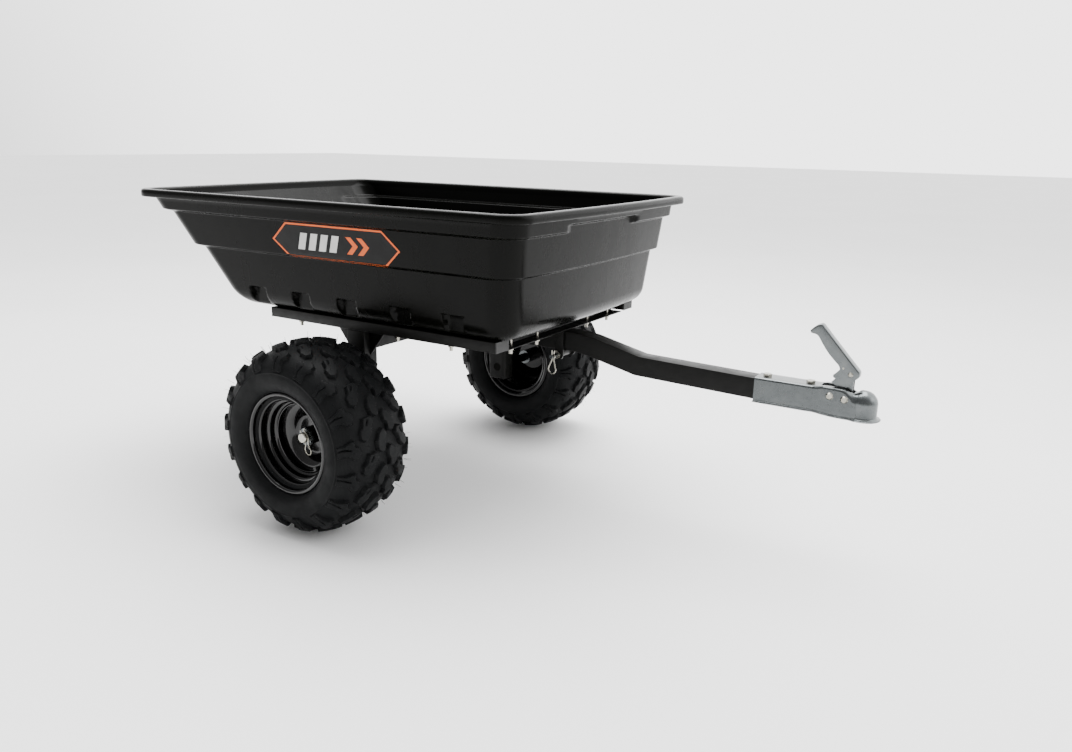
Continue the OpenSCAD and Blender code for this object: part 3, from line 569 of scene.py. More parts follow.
# The shoulders' hairs: distance along the section and side of the tyre, in each half pitch
HAIRS = ((0.030, 1), (0.062, 1), (0.090, 1), (0.112, 1), (0.030, -1), (0.075, -1), (0.100, -1))
HAIR_FACES = ((0, 1, 4, 3), (1, 2, 5, 4), (2, 0, 3, 5), (3, 4, 5), (2, 1, 0))
RIM_T = 0.003
RIM_SEGMENTS = 128
RIM_STEP = 0.0016
DISH_STEP = 0.0025
# The rim's steps, as depth below the flange's edge and distance in from its side: outboard, then inboard
RIM_OUTBOARD = [
    (0.0, 0.0040), (0.0008, 0.0012), (0.0030, 0.0), (0.0056, 0.0012), (0.0068, 0.0050), (0.0078, 0.0110),
    (0.0100, 0.0132), (0.0150, 0.0140), (0.0178, 0.0160), (0.0186, 0.0210), (0.0190, 0.0300), (0.0206, 0.0330),
    (0.0250, 0.0342), (0.0272, 0.0366), (0.0278, 0.0460), (0.0292, 0.0490), (0.0326, 0.0502), (0.0345, 0.0530),
    (0.0365, 0.0600),
]
RIM_INBOARD = [
    (0.0365, 0.0560), (0.0340, 0.0500), (0.0250, 0.0380), (0.0215, 0.0320), (0.0212, 0.0110), (0.0150, 0.0070),
    (0.0090, 0.0015), (0.0040, 0.0), (0.0, 0.0030),
]
WELL_R = FLANGE_R - 0.0345
# The rim's disc from the hub's hole to the well, as radius and distance out
DISH = [(0.0213, 0.0040), (0.0300, 0.0040), (0.0450, 0.0042), (0.0520, 0.0070), (0.0585, 0.0150),
        (0.0660, 0.0200), (0.0780, 0.0235), (WELL_R, 0.0225)]


def revolve(profile, segments, closed=True):
    """Rings about the wheel's axis from (radius, distance out) pairs, as x, y, z with y outwards."""
    angles = 2 * math.pi * np.arange(segments) / segments
    verts = [(r * math.cos(a), w, r * math.sin(a)) for r, w in profile for a in angles]
    return np.array(verts), bridge_rings(len(profile), segments, closed_loop=closed)


def place_wheel(verts, side):
    """From the wheel's own axes to the frame. side is -1 on the right and 1 on the left."""
    out = np.array(verts, float)
    out[:, 1] = side * (WHEEL_Y + out[:, 1])
    out[:, 0] += AX
    out[:, 2] += AXLE_Z
    return out


def flip(faces, side):
    """The faces as they are on the left, turned over on the mirrored right."""
    return faces if side > 0 else [tuple(reversed(f)) for f in faces]


def stretch_distance(points, a, b):
    """Distance from each point to the straight stretch from a to b."""
    along = b - a
    t = np.clip(((points - a) @ along) / (along @ along), 0, 1)
    return np.linalg.norm(points - a - t[:, None] * along, axis=1)


def polygon_distance(points, polygon):
    """Signed distance from each point to a polygon's outline: negative inside."""
    poly = np.array(polygon)
    inside = np.zeros(len(points), bool)
    best = np.full(len(points), 9.0)
    for a, b in zip(poly, np.roll(poly, -1, axis=0)):
        along = b - a
        best = np.minimum(best, stretch_distance(points, a, b))
        crosses = (a[1] > points[:, 1]) != (b[1] > points[:, 1])
        slope = along[0] / (along[1] if along[1] else 1e-9)
        inside ^= crosses & (points[:, 0] < a[0] + slope * (points[:, 1] - a[1]))
    return np.where(inside, -best, best)


def line_distance(points, path):
    """Distance from each point to an open path."""
    corners = np.array(path)
    return np.min([stretch_distance(points, a, b) for a, b in zip(corners, corners[1:])], axis=0)


def lug_height(t, s, pitch):
    """Height of the tread above the carcass at each point of one pitch, with its neighbours' lugs."""
    height = np.zeros(len(t))
    for half, shift in ((1, 0.0), (-1, 0.5 * pitch)):
        for wrap in (-1, 0, 1):
            pts = np.stack([t - shift + wrap * pitch, s * half], 1)
            fade = 1 - 0.55 * smoothstep(pts[:, 1], 0.088, 0.122)
            for lug in (SIDE_LUG, MID_LUG, CENTRE_LUG):
                edge = 1 - smoothstep(polygon_distance(pts, lug), -0.0014, 0.0009)
                height = np.maximum(height, edge * LUG_H * fade)
            for sipe in SIPES:
                groove = 1 - smoothstep(line_distance(pts, sipe), 0.0006, 0.0022)
                height = height - np.where(height > 0.0012, groove * SIPE_SHARE * height, 0.0)
    return height


def section_normals(section):
    """Unit normals of a section, to the left of its run."""
    tangent = np.gradient(section, axis=0)
    tangent /= np.linalg.norm(tangent, axis=1)[:, None]
    return np.stack([tangent[:, 1], -tangent[:, 0]], 1)


def build_tyre(side, label):
    """One closed ring of section loops: the tread and sidewalls outside, the plain lining inside."""
    half = smooth_profile(OUTER_HALF, SECTION_STEP)
    section = np.concatenate([half[::-1] * (1, -1), half[1:]])
    steps = np.linalg.norm(np.diff(section, axis=0), axis=1)
    s = np.concatenate([[0], np.cumsum(steps)])
    s -= s[len(half) - 1]
    normals = section_normals(section)
    pitch = 2 * math.pi * CARCASS_R / LUGS
    t = pitch * np.arange(LUG_STEPS) / LUG_STEPS
    ring_bead = RING_H * np.exp(-((np.abs(s) - RING_S) / RING_W) ** 2)
    heights = [lug_height(np.full(len(s), ti), s, pitch) + ring_bead for ti in t]
    lining = np.array([(r, w) for r, w in INNER_HALF] + [(r, -w) for r, w in INNER_HALF[-2::-1]])
    loops = []
    for lug in range(LUGS):
        for i, height in enumerate(heights):
            a = 2 * math.pi * (lug + i / LUG_STEPS) / LUGS
            radius = np.minimum(section[:, 0] + normals[:, 0] * height, TYRE_R)
            r = np.concatenate([radius, lining[:, 0]])
            w = np.concatenate([section[:, 1] + normals[:, 1] * height, lining[:, 1]])
            loops.append(np.stack([r * math.cos(a), w, r * math.sin(a)], 1))
    faces = flip(bridge_rings(len(loops), len(loops[0]), closed_loop=True), side)
    add_piece(f"tyre_tread_{label}", place_wheel(np.concatenate(loops), side), faces, f"wheel_{label}",
              "tyre_rubber", (f"tyre_{label}",), 40.0)


def rim_profile():
    """Outer face of the pressed rim from one flange to the other, then back along its inside."""
    outboard = [(FLANGE_R - drop, RIM_HALF_W - depth) for drop, depth in RIM_OUTBOARD]
    inboard = [(FLANGE_R - drop, depth - RIM_HALF_W) for drop, depth in RIM_INBOARD]
    face = smooth_profile(outboard + inboard, RIM_STEP)
    back = face + section_normals(face) * RIM_T
    return np.concatenate([face, back[::-1]])


def build_rim(side, label):
    verts, faces = revolve(rim_profile(), RIM_SEGMENTS)
    dish = smooth_profile(DISH, DISH_STEP)
    dish = np.concatenate([dish, (dish - (0.0, RIM_T))[::-1]])
    disc_verts, disc_faces = revolve(dish, RIM_SEGMENTS)
    faces = faces + [tuple(i + len(verts) for i in f) for f in disc_faces]
    verts = place_wheel(np.concatenate([verts, disc_verts]), side)
    add_piece(f"rim_pressing_{label}", verts, flip(faces, -side), f"wheel_{label}", "rim_paint",
              (f"rim_{label}",), 45.0)


def build_hairs(side, label):
    """The thin rubber hairs that the mould's vents leave on the shoulders of a new tyre."""
    rng = np.random.default_rng(7 if side < 0 else 8)
    verts, faces = [], []
    half = smooth_profile(OUTER_HALF, 0.0029)
    normals = section_normals(half)
    reach = np.concatenate([[0], np.cumsum(np.linalg.norm(np.diff(half, axis=0), axis=1))])
    for lug in range(2 * LUGS):
        for s, sign in HAIRS:
            k = int(np.searchsorted(reach, s + rng.uniform(-0.006, 0.006)))
            a = 2 * math.pi * (lug + rng.uniform(0.1, 0.9)) / (2 * LUGS)
            length = rng.uniform(0.007, 0.013)
            foot = half[k] + normals[k] * 0.004
            tip = half[k] + normals[k] * (LUG_H + length) + rng.uniform(-0.002, 0.002, 2)
            if foot[0] * math.sin(a) < -0.150 or tip[1] > TYRE_HALF_W - 0.001:
                continue
            first = len(verts)
            lean = a + rng.uniform(-0.015, 0.015)
            for (r, w), angle, thick in ((foot, a, 0.0008), (tip, lean, 0.0005)):
                for turn in (0.0, 2.1, 4.2):
                    r_t, w_t = r + thick * math.cos(turn), w + thick * math.sin(turn)
                    verts.append((r_t * math.cos(angle), sign * w_t, r_t * math.sin(angle)))
            faces += [tuple(first + i for i in face) for face in HAIR_FACES]
    add_piece(f"tyre_hairs_{label}", place_wheel(verts, side), faces, f"wheel_{label}", "tyre_rubber")


# ---------- Wire clips ----------

WIRE_R = 0.0016
WIRE_STEP = 0.0016
CLIP_TILT = 25.0


def tube(path, radius, sides=10):
    """A round wire along a list of points, with closed ends."""
    path = np.array(path, float)
    verts = []
    up = None
    for k, point in enumerate(path):
        ahead = path[min(k + 1, len(path) - 1)] - path[max(k - 1, 0)]
        ahead /= np.linalg.norm(ahead)
        side = np.cross(ahead, (0.0, 1.0, 0.0) if up is None else up)
        side /= np.linalg.norm(side)
        up = np.cross(side, ahead)
        for i in range(sides):
            a = 2 * math.pi * i / sides
            verts.append(point + radius * (math.cos(a) * side + math.sin(a) * up))
    return verts, bridge_rings(len(path), sides, (True, True))


def clip_path(shaft_r, loop_half, loop_end, overhang):
    """An R-shaped clip as down and across in its own plane. One leg runs through the shaft."""
    over = shaft_r + WIRE_R
    points = [
        (-overhang, 0.0), (-shaft_r, 0.0), (shaft_r, 0.0), (shaft_r + 0.005, -0.001),
        (loop_end - 0.017, -loop_half * 0.85), (loop_end - 0.009, -loop_half),
        (loop_end - 0.002, -loop_half * 0.6), (loop_end, 0.0), (loop_end - 0.002, loop_half * 0.6),
        (loop_end - 0.009, loop_half), (loop_end - 0.017, loop_half * 0.80), (shaft_r + 0.002, over * 0.62),
        (shaft_r * 0.55, over * 0.92), (0.0, over), (-shaft_r * 0.65, over * 0.85),
        (-shaft_r - 0.003, over * 0.62), (-overhang, over * 0.95),
    ]
    return smooth_profile(points, WIRE_STEP)


def add_clip(name, centre, tilt, path, body, replaces):
    """Stands the clip's plane across the y axis, with its loop tilt degrees forward of straight down."""
    lean = math.radians(tilt)
    down = np.array((math.sin(lean), 0.0, -math.cos(lean)))
    across = np.array((math.cos(lean), 0.0, math.sin(lean)))
    lift = np.linspace(-0.0009, 0.0009, len(path))
    points = [np.array(centre) + d * down + c * across + (0, h, 0) for (d, c), h in zip(path, lift)]
    verts, faces = tube(points, WIRE_R)
    add_piece(name, verts, faces, body, "bright_fastener", replaces)


def build_wheel_clip(side, label):
    """The clip through the stub axle's end. The two clips are one CAD node, which the right one replaces."""
    shaft_low, shaft_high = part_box("stub_axle_right")
    path = clip_path((shaft_high.z - shaft_low.z) / 2, 0.0085, 0.0430, 0.0190)
    centre = (AX, side * (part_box("wheel_clips")[1].y - WIRE_R), AXLE_Z)
    replaces = ("wheel_clips",) if side < 0 else ()
    add_clip(f"wheel_clip_wire_{label}", centre, CLIP_TILT, path, "undercarriage", replaces)


def build_latch_clip():
    low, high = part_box("latch_clip")
    pin_low, pin_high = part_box("latch_pin")
    centre = ((pin_low.x + pin_high.x) / 2, (low.y + high.y) / 2, (pin_low.z + pin_high.z) / 2)
    path = clip_path(0.0050, 0.0105, 0.0440, 0.0160)
    add_clip("latch_clip_wire", centre, 0.0, path, "undercarriage", ("latch_clip",))


# ---------- Coupler ----------

BODY_LOW, BODY_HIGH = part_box("coupler_body")
LIP_R = BODY_HIGH.y
LIP_Z = BODY_LOW.z
BALL_X = BODY_HIGH.x - LIP_R
BALL_Z = LIP_Z + 0.034
CUP_R = 0.0284
SHEET = 0.003
BODY_TOP = BODY_HIGH.z - 0.003
BODY_BOTTOM = LIP_Z + 0.0049
BODY_HALF = 0.0273
BODY_FLANGE = 0.0050
NECK_FLANGE = 0.0030
BEND_R = 0.0055
# Stations of the pressed body: distance behind the ball, half width, top, bottom, flange and top corner radius
STATIONS = [
    (BALL_X - BODY_LOW.x, BODY_HALF, BODY_TOP, BODY_BOTTOM, BODY_FLANGE, BEND_R),
    (0.1180, BODY_HALF, BODY_TOP, BODY_BOTTOM, BODY_FLANGE, BEND_R),
    (0.1100, 0.0272, BODY_TOP, BODY_BOTTOM, 0.0048, BEND_R),
    (0.1040, 0.0267, BODY_TOP, BODY_BOTTOM - 0.0002, 0.0036, BEND_R),
    (0.0980, 0.0262, BODY_TOP, BODY_BOTTOM - 0.0006, 0.0031, BEND_R),
    (0.0900, 0.0262, BODY_TOP + 0.0012, BODY_BOTTOM - 0.0016, NECK_FLANGE, BEND_R),
    (0.0820, 0.0267, BODY_TOP + 0.0028, BODY_BOTTOM - 0.0026, NECK_FLANGE, BEND_R),
    (0.0600, 0.0272, BODY_TOP + 0.0030, LIP_Z + 0.0006, NECK_FLANGE, BEND_R),
    (0.0420, BODY_HALF, BODY_TOP + 0.0026, LIP_Z, NECK_FLANGE, 0.0065),
    (0.0340, BODY_HALF, BODY_TOP + 0.0010, LIP_Z, NECK_FLANGE, 0.0085),
    (0.0270, 0.0271, BODY_TOP - 0.0034, LIP_Z, NECK_FLANGE, 0.0120),
    (0.0210, 0.0268, BODY_TOP - 0.0060, LIP_Z, 0.0036, 0.0165),
    (0.0160, 0.0266, BODY_TOP - 0.0050, LIP_Z, 0.0064, 0.0205),
    (0.0100, 0.0265, BODY_TOP - 0.0010, LIP_Z, 0.0090, 0.0250),
]
STATION_STEP = 0.0020
DOME_OPENING = 142.0
DOME_STEPS = 73
SLOT_HALF = 0.0118
SLOT_REAR, SLOT_FRONT = BALL_X - 0.0900, BALL_X - 0.0200
TAB_REAR, TAB_FRONT = BALL_X - 0.1040, BALL_X - 0.0820
TAB_T = 0.0012


def channel_section(half, top, bottom, flange, corner):
    """Right half of the pressed channel's outer face, then of its inner face, as y and z."""
    def arc(centre, radius, start, end, steps=5):
        angles = np.radians(np.linspace(start, end, steps))
        return [(centre[0] + radius * math.cos(a), centre[1] + radius * math.sin(a)) for a in angles]

    fillet = 0.0022
    edge = -half - flange
    outer = [(edge, bottom), (edge - 0.0004, bottom + SHEET / 2), (edge, bottom + SHEET)]
    outer += arc((-half - fillet, bottom + SHEET + fillet), fillet, -90, 0)
    outer += arc((-half + corner, top - corner), corner, 180, 90)
    outer += [((corner - half) * 0.5, top), (0.0, top)]
    inner = [(edge + 0.0004, bottom), (-half - flange * 0.6, bottom), (-half - fillet, bottom)]
    inner += arc((-half - fillet, bottom + SHEET + fillet - 0.0002), fillet + SHEET - 0.0002, -90, 0)
    inner += arc((-half + corner, top - corner), corner - SHEET, 180, 90)
    inner += [((corner - half) * 0.5, top - SHEET), (0.0, top - SHEET)]
    return outer, inner


def closed_channel(stations):
    """Rings of the whole channel, closed at both ends by strips between its two faces."""
    rings = []
    for behind, *sizes in stations:
        outer, inner = channel_section(*sizes)
        outer = outer + [(-y, z) for y, z in outer[-2::-1]]
        inner = inner + [(-y, z) for y, z in inner[-2::-1]]
        rings.append([(BALL_X - behind, y, z) for y, z in outer + inner[::-1]])
    faces = bridge_rings(len(rings), len(rings[0])) + end_strips(len(rings), len(rings[0]))
    return [p for ring in rings for p in ring], faces


def smooth_stations(rows, spacing):
    """More stations along the length, straight between the given ones and eased at each."""
    rows = np.array(rows)
    places = [rows[0, 0]]
    while places[-1] - spacing > rows[-1, 0]:
        places.append(places[-1] - spacing)
    places.append(rows[-1, 0])
    columns = [np.interp(places[::-1], rows[::-1, 0], rows[::-1, k])[::-1] for k in range(1, rows.shape[1])]
    table = np.stack([places] + columns, 1)
    for _ in range(2):
        table[1:-1, 1:] = (table[:-2, 1:] + 2 * table[1:-1, 1:] + table[2:, 1:]) / 4
    return table


def open_dome():
    """Cup, skirt and turned-out lip round the ball, open towards the drawbar."""
    arc = [math.radians(a) for a in range(90, -1, -6)]
    outer = [(CUP_R * math.cos(a), BALL_Z + CUP_R * math.sin(a)) for a in arc]
    outer += [(CUP_R, LIP_Z + 0.0075), (CUP_R + 0.0006, LIP_Z + 0.0052), (CUP_R + 0.0022, LIP_Z + 0.0036)]
    outer += [(LIP_R - 0.0012, LIP_Z + SHEET), (LIP_R, LIP_Z + 0.0018), (LIP_R - 0.0004, LIP_Z + 0.0004)]
    bore = CUP_R - SHEET
    inner = [(bore * math.cos(a), BALL_Z + bore * math.sin(a)) for a in arc]
    inner += [(bore, LIP_Z + 0.0050), (bore + 0.0004, LIP_Z + 0.0020), (bore + 0.0018, LIP_Z)]
    inner += [(bore + 0.0050, LIP_Z), (bore + 0.0080, LIP_Z), (LIP_R - 0.0016, LIP_Z)]
    loop = outer + inner[::-1]
    angles = np.radians(np.linspace(-DOME_OPENING, DOME_OPENING, DOME_STEPS))
    verts = [(BALL_X + r * math.cos(a), r * math.sin(a), z) for a in angles for r, z in loop]
    return verts, bridge_rings(DOME_STEPS, len(loop)) + end_strips(DOME_STEPS, len(loop))


def mesh_from(verts, faces):
    """A closed mesh from points and faces, with its normals outwards."""
    bm = bmesh.new()
    points = [bm.verts.new(v) for v in verts]
    for face in faces:
        bm.faces.new([points[i] for i in face])
    bmesh.ops.remove_doubles(bm, verts=bm.verts[:], dist=1e-6)
    bmesh.ops.recalc_face_normals(bm, faces=bm.faces[:])
    return mesh_of(bm, "part")


def block(low, high):
    """Corners and faces of a plain box, used as a cutter."""
    corners = [(x, y, z) for x in (low[0], high[0]) for y in (low[1], high[1]) for z in (low[2], high[2])]
    return corners, [(0, 1, 3, 2), (4, 6, 7, 5), (0, 4, 5, 1), (2, 3, 7, 6), (0, 2, 6, 4), (1, 5, 7, 3)]


def cut(mesh, cutters):
    """The mesh with each closed cutter taken away from it."""
    target = add_object("cut_target", mesh)
    helpers = []
    for verts, faces in cutters:
        helper = add_object("cutter", mesh_from(verts, faces))
        modifier = target.modifiers.new("cut", "BOOLEAN")
        modifier.object = helper
        modifier.solver = "EXACT"
        helpers.append(helper)
    result = bpy.data.meshes.new_from_object(target.evaluated_get(bpy.context.evaluated_depsgraph_get()))
    for item in helpers + [target]:
        bpy.data.objects.remove(item)
    return result


def joined(meshes):
    """One mesh that holds all of the meshes."""
    bm = bmesh.new()
    for mesh in meshes:
        bm.from_mesh(mesh)
    return mesh_of(bm, "joined")


def build_tab():
    """The small lip that stands on the body's right upper edge."""
    top = [(TAB_REAR, -0.0250, BODY_TOP - 0.0005), (TAB_FRONT, -0.0236, BODY_TOP + 0.0022),
           (TAB_FRONT, -0.0250, BODY_TOP + 0.0034), (TAB_REAR, -0.0275, BODY_TOP + 0.0004)]
    sides = [(k, k + 4, (k + 1) % 4 + 4, (k + 1) % 4) for k in range(4)]
    return mesh_from(top + [(x, y, z - TAB_T) for x, y, z in top], [(0, 1, 2, 3), (7, 6, 5, 4)] + sides)


def build_coupler():
    channel = mesh_from(*closed_channel(smooth_stations(STATIONS, STATION_STEP)))
    slot = block((SLOT_REAR, -SLOT_HALF, BODY_TOP - 0.012), (SLOT_FRONT, SLOT_HALF, BODY_TOP + 0.02))
    mesh = joined([cut(channel, [slot]), mesh_from(*open_dome()), build_tab()])
    shade(mesh, 40.0)
    place_piece("coupler_pressing", mesh, "undercarriage", "zinc_plate", ("coupler_body",))


PIN_LOW, PIN_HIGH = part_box("handle_pin")
HANDLE_PIVOT = ((PIN_LOW.x + PIN_HIGH.x) / 2, (PIN_LOW.z + PIN_HIGH.z) / 2)
HANDLE_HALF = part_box("coupler_handle")[1].y
HANDLE_T = 0.0025
HANDLE_FOLD = 0.0036
LEVER_STEPS = 4
# Front and rear edge of the lever from its nose to its foot, measured from the pivot
LEVER = [
    ((-0.0930, 0.0850), (-0.0905, 0.0798)), ((-0.0860, 0.0925), (-0.0850, 0.0790)),
    ((-0.0765, 0.0995), (-0.0785, 0.0775)), ((-0.0690, 0.1005), (-0.0725, 0.0720)),
    ((-0.0600, 0.0912), (-0.0640, 0.0590)), ((-0.0400, 0.0696), (-0.0505, 0.0410)),
    ((-0.0200, 0.0480), (-0.0355, 0.0255)), ((0.0000, 0.0264), (-0.0262, 0.0165)),
    ((0.0120, 0.0135), (-0.0232, 0.0070)), ((0.0172, 0.0074), (-0.0262, -0.0050)),
    ((0.0180, 0.0000), (-0.0320, -0.0140)), ((0.0172, -0.0042), (-0.0380, -0.0210)),
]
# Lower edge of the cheeks, from the end of the front edge round to the end of the rear one
FOOT = [(0.0172, -0.0042), (0.0060, -0.0150), (-0.0060, -0.0300), (-0.0130, -0.0325), (-0.0200, -0.0328),
        (-0.0300, -0.0270), (-0.0380, -0.0210)]


def lever_ring(front, rear):
    """Folded section of the lever: two cheeks joined by a spine along the front edge."""
    reach = np.linalg.norm(front - rear)
    along = (front - rear) / reach

    def profile(skin):
        radius = max(0.0009, HANDLE_FOLD - skin)
        half, end = HANDLE_HALF - skin, reach - skin
        turn = np.radians(np.linspace(90, 0, 5))
        right = [(0.0, -half), (0.5 * (end - radius), -half)]
        right += [(end - radius + radius * math.cos(a), -half + radius - radius * math.sin(a)) for a in turn]
        return right + [(u, -y) for u, y in right[::-1]]

    points = profile(0.0) + profile(HANDLE_T)[::-1]
    x, z = HANDLE_PIVOT
    return [(x + rear[0] + u * along[0], y, z + rear[1] + u * along[1]) for u, y in points]


def build_lever():
    pairs = [np.array(pair) for pair in LEVER]
    places = [(k, i / LEVER_STEPS) for k in range(len(LEVER) - 1) for i in range(LEVER_STEPS)]
    curve = [curve_point(pairs, k, t) for k, t in places] + [pairs[-1]]
    rings = [lever_ring(front, rear) for front, rear in curve]
    faces = bridge_rings(len(rings), len(rings[0])) + end_strips(len(rings), len(rings[0]))
    return mesh_from([p for ring in rings for p in ring], faces)


def build_cheek(side):
    x0, z0 = HANDLE_PIVOT
    n = len(FOOT)
    depths = (HANDLE_HALF, HANDLE_HALF - HANDLE_T)
    verts = [(x0 + x, side * y, z0 + z) for y in depths for x, z in FOOT]
    sides = [(k, (k + 1) % n, n + (k + 1) % n, n + k) for k in range(n)]
    return mesh_from(verts, [tuple(range(n)), tuple(range(2 * n - 1, n - 1, -1))] + sides)


def build_handle():
    mesh = joined([build_lever(), build_cheek(-1), build_cheek(1)])
    shade(mesh, 40.0)
    place_piece("coupler_lever", mesh, "handle", "zinc_plate", ("coupler_handle",))


# ---------- Softened frame ----------

# Frame nodes whose sharp edges are rounded, with the width of the rounding
SOFTENED = (("rail_right", 0.0030), ("rail_left", 0.0030), ("front_crossmember", 0.0030), ("drawbar", 0.0040),
            ("axle_beam", 0.0030), ("leg_right", 0.0020), ("leg_left", 0.0020), ("leg_gussets", 0.0010),
            ("latch_bracket", 0.0012), ("drawbar_gussets", 0.0010))


def soften(node, width):
    """Replaces a CAD node by the same shape with its sharp edges rounded."""
    bm = bmesh.new()
    bm.from_mesh(frame["nodes"][node].data)
    bmesh.ops.remove_doubles(bm, verts=bm.verts[:], dist=1e-5)
    bmesh.ops.dissolve_limit(bm, angle_limit=math.radians(1.0), verts=bm.verts[:], edges=bm.edges[:])
    joints = [e for e in bm.edges if len(e.link_faces) == 2 and e.calc_length() > 4 * width]
    sharp = [e for e in joints if e.calc_face_angle() > math.radians(40)]
    bmesh.ops.bevel(bm, geom=sharp, offset=width, segments=3, profile=0.5, affect="EDGES", clamp_overlap=True)
    bmesh.ops.triangulate(bm, faces=[f for f in bm.faces if len(f.verts) > 4])
    mesh = mesh_of(bm, node)
    shade(mesh, 35.0)
    place_piece(f"{node}_rounded", mesh, BODY_OF[node], SLOT_OF[node], (node,))


# ---------- Decal ----------

HEX = [(-0.205, 0.6665), (-0.154, 0.7095), (0.150, 0.7095), (0.199, 0.6665), (0.154, 0.6270), (-0.154, 0.6270)]
BORDER_W = 0.0042
FILM_LIFT = 0.0003
PRINT_LIFT = 0.0006
PRINT_T = 0.00025
MARK_HALF = 0.020
BAR_X, BAR_PITCH, BAR_W, BAR_SLANT = -0.120, 0.034, 0.022, 0.014
ARROW_X = (0.038, 0.072)
ARROW_W, ARROW_TIP = 0.016, 0.020


def side_wall_y(z):
    """The side wall's distance from the middle at height z."""
    return HALF_W - RIM_OUT - float(wall_inset(np.array(z), DRAFT["side"], LEDGE))


def decal_patch(polygon, lift, cell=0.006):
    """A flat outline in x (from the axle) and z, cut into a fine mesh so that it can lie on the wall."""
    bm = bmesh.new()
    loop = [bm.verts.new((x, 0.0, z)) for x, z in polygon]
    bm.faces.new(loop)
    xs, zs = zip(*polygon)
    for axis, low, high, step in ((0, min(xs), max(xs), cell * 6), (2, min(zs), max(zs), cell)):
        place = low + cell
        while place < high:
            origin, normal = [0, 0, 0], [0, 0, 0]
            origin[axis], normal[axis] = place, 1
            everything = bm.verts[:] + bm.edges[:] + bm.faces[:]
            bmesh.ops.bisect_plane(bm, geom=everything, plane_co=origin, plane_no=normal)
            place += step
    bmesh.ops.triangulate(bm, faces=bm.faces[:])
    for v in bm.verts:
        v.co.y = -(side_wall_y(v.co.z) + lift)
        v.co.x += AX
    return bm


def mirror_y(bm):
    """From the right side to the left."""
    for v in bm.verts:
        v.co.y = -v.co.y
    bmesh.ops.reverse_faces(bm, faces=bm.faces[:])


def add_decal_layer(name, outlines, lift, side, mat, replaces=()):
    """One colour of the print: its outlines as thin patches that follow the wall."""
    whole = bmesh.new()
    for outline in outlines:
        bm = decal_patch(outline, lift)
        bm.normal_update()
        if sum(f.normal.y for f in bm.faces) > 0:
            bmesh.ops.reverse_faces(bm, faces=bm.faces[:])
        if side > 0:
            mirror_y(bm)
        part = mesh_of(bm, "part")
        whole.from_mesh(part)
        bpy.data.meshes.remove(part)
    bmesh.ops.solidify(whole, geom=whole.faces[:], thickness=PRINT_T)
    mesh = mesh_of(whole, name)
    shade(mesh, 60.0)
    place_piece(name, mesh, "bed", "decal_print", replaces, mat)


def scale_outline(outline, grow):
    """The outline moved outwards by grow along each corner's bisector."""
    pts = [Vector((x, z)) for x, z in outline]
    area = sum(a.x * b.y - b.x * a.y for a, b in zip(pts, pts[1:] + pts[:1]))
    outwards = 1 if area > 0 else -1
    out = []
    for k, p in enumerate(pts):
        into, away = (p - pts[k - 1]).normalized(), (pts[(k + 1) % len(pts)] - p).normalized()
        turn = Vector((into.y + away.y, -into.x - away.x)).normalized() * outwards
        reach = grow / max(0.3, turn.dot(Vector((into.y, -into.x)) * outwards))
        out.append(tuple(p + turn * reach))
    return out


def border_strips(outline, width):
    """One four-sided strip along each edge of the outline."""
    inner = scale_outline(outline, -width)
    n = len(outline)
    return [[outline[k], outline[(k + 1) % n], inner[(k + 1) % n], inner[k]] for k in range(n)]


def slanted_bar(x, z, length, height, slant):
    return [(x, z), (x + length, z), (x + length + slant, z + height), (x + slant, z + height)]


def arrow(x, z):
    """A broad arrow that points forward, about height z."""
    low, high = z - MARK_HALF, z + MARK_HALF
    return [(x, low), (x + ARROW_W, low), (x + ARROW_W + ARROW_TIP, z), (x + ARROW_W, high), (x, high),
            (x + ARROW_TIP, z)]


def build_decal(side, label):
    middle = HEX[0][1] + 0.001
    bars = [slanted_bar(BAR_X + BAR_PITCH * k, middle - MARK_HALF, BAR_W, 2 * MARK_HALF, BAR_SLANT)
            for k in range(4)]
    arrows = [arrow(x, middle) for x in ARROW_X]
    border = border_strips(HEX, BORDER_W)
    orange = MAT["decal_print"]
    add_decal_layer(f"decal_film_{label}", [HEX], FILM_LIFT, side, DECAL_BLACK, (f"decal_{label}",))
    add_decal_layer(f"decal_border_{label}", border, PRINT_LIFT, side, orange)
    add_decal_layer(f"decal_bars_{label}", bars, PRINT_LIFT, side, DECAL_WHITE)
    add_decal_layer(f"decal_arrows_{label}", arrows, PRINT_LIFT, side, orange)


# ---------- Scene ----------

CAMERA_PLACE = Vector((AX + 1.4754, -1.8888, 0.9171))
CAMERA_TURN = (-0.5499, -0.2661, 0.0183)
CAMERA_LENS = 29.45
FLOOR_HALF = 30.0
SURROUND_FACING = (0.10, 0.90, 0.42)
SURROUND_STOPS = ((0.0, 0.12), (0.42, 0.17), (0.62, 0.44), (0.78, 1.0))
SURROUND_STRENGTH = 3.6


def build_camera():
    """The photo's camera, turned by yaw from +Y towards +X, then by pitch and roll."""
    yaw, pitch, roll = CAMERA_TURN
    place = CAMERA_PLACE
    ahead = Vector((math.sin(yaw) * math.cos(pitch), math.cos(yaw) * math.cos(pitch), math.sin(pitch)))
    right = Vector((math.cos(yaw), -math.sin(yaw), 0.0))
    up = right.cross(ahead)
    right_r = math.cos(roll) * right + math.sin(roll) * up
    up_r = -math.sin(roll) * right + math.cos(roll) * up
    data = bpy.data.cameras.new("photo_camera")
    data.lens = CAMERA_LENS
    data.sensor_width = 36.0
    data.clip_end = 100.0
    camera = add_object("photo_camera", data)
    camera.matrix_world = Matrix((
        (right_r.x, up_r.x, -ahead.x, place.x),
        (right_r.y, up_r.y, -ahead.y, place.y),
        (right_r.z, up_r.z, -ahead.z, place.z),
        (0, 0, 0, 1),
    ))
    bpy.context.scene.camera = camera


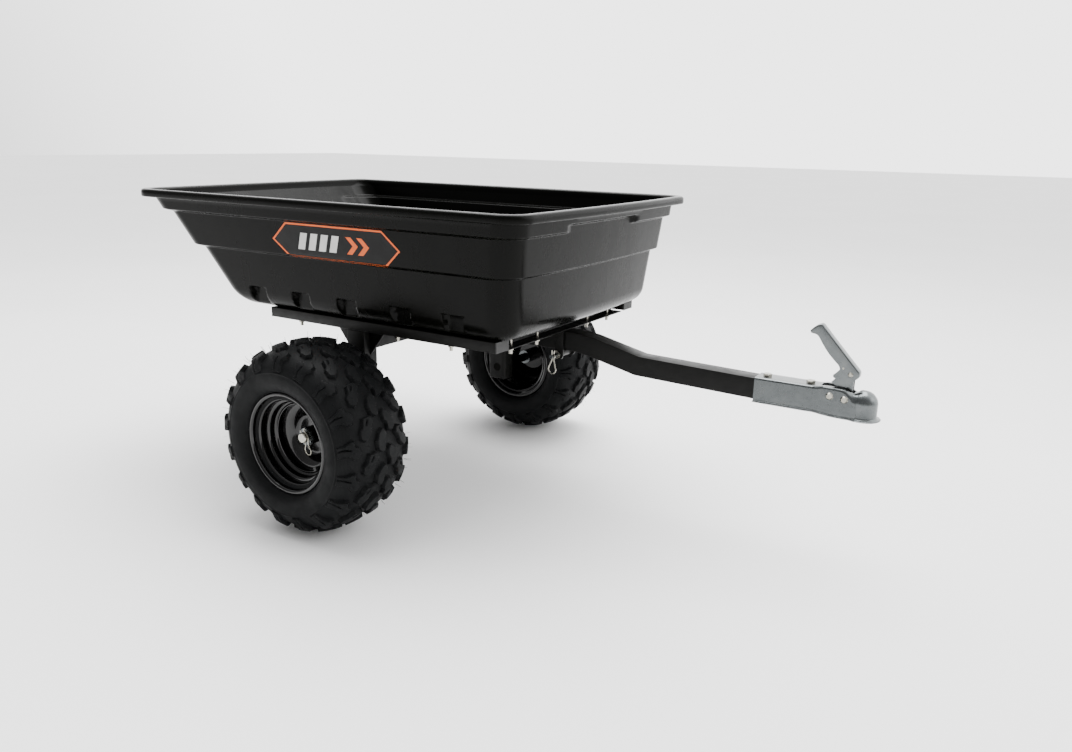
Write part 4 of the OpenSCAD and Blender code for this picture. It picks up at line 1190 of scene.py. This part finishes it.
def build_floor():
    bm = bmesh.new()
    bmesh.ops.create_grid(bm, x_segments=2, y_segments=2, size=FLOOR_HALF)
    mesh = mesh_of(bm, "floor")
    floor = add_object("floor", mesh)

    def look(n):
        n.colour(n.spread(n.noise(0.8, 2.0), (0.90, 0.90, 0.90), (0.93, 0.93, 0.93)))
        n.rough(n.spread(n.noise(3.0, 2.0), 0.75, 0.85))
    mesh.materials.append(material("pale_floor", look))


def area_light(name, place, target, size, power):
    """A white rectangle of light at place that faces target."""
    data = bpy.data.lights.new(name, "AREA")
    data.shape = "RECTANGLE"
    data.size, data.size_y = size
    data.energy = power
    lamp = add_object(name, data)
    lamp.location = place
    lamp.rotation_mode = "QUATERNION"
    lamp.rotation_quaternion = (Vector(target) - Vector(place)).to_track_quat("-Z", "Y")


def build_world():
    """Soft surround: bright behind the cart and above it, dim behind the camera."""
    world = bpy.data.worlds.new("studio")
    world.use_nodes = True
    tree = world.node_tree
    background = tree.nodes["Background"]
    coords = tree.nodes.new("ShaderNodeTexCoord")
    facing = tree.nodes.new("ShaderNodeVectorMath")
    facing.operation = "DOT_PRODUCT"
    facing.inputs[1].default_value = Vector(SURROUND_FACING).normalized()
    tree.links.new(coords.outputs["Generated"], facing.inputs[0])
    spread = tree.nodes.new("ShaderNodeMapRange")
    spread.inputs["From Min"].default_value = -1.0
    tree.links.new(facing.outputs["Value"], spread.inputs["Value"])
    ramp = tree.nodes.new("ShaderNodeValToRGB")
    set_ramp(ramp.color_ramp, SURROUND_STOPS)
    tree.links.new(spread.outputs[0], ramp.inputs["Fac"])
    tree.links.new(ramp.outputs["Color"], background.inputs["Color"])
    background.inputs["Strength"].default_value = SURROUND_STRENGTH
    bpy.context.scene.world = world


def build_lights():
    area_light("overhead", (AX - 0.2, 0.9, 4.2), (AX + 0.2, 0.0, 0.3), (4.0, 3.4), 380)
    area_light("front", (AX + 3.4, 0.4, 1.9), (AX + 0.3, 0, 0.5), (1.8, 1.2), 12)


paint_cad_nodes()
build_camera()
build_floor()
build_world()
build_lights()
build_tub()
for side, label in ((-1, "right"), (1, "left")):
    build_tyre(side, label)
    build_rim(side, label)
    build_hairs(side, label)
    build_decal(side, label)
    build_wheel_clip(side, label)
build_latch_clip()
build_coupler()
build_handle()
for node, width in SOFTENED:
    soften(node, width)
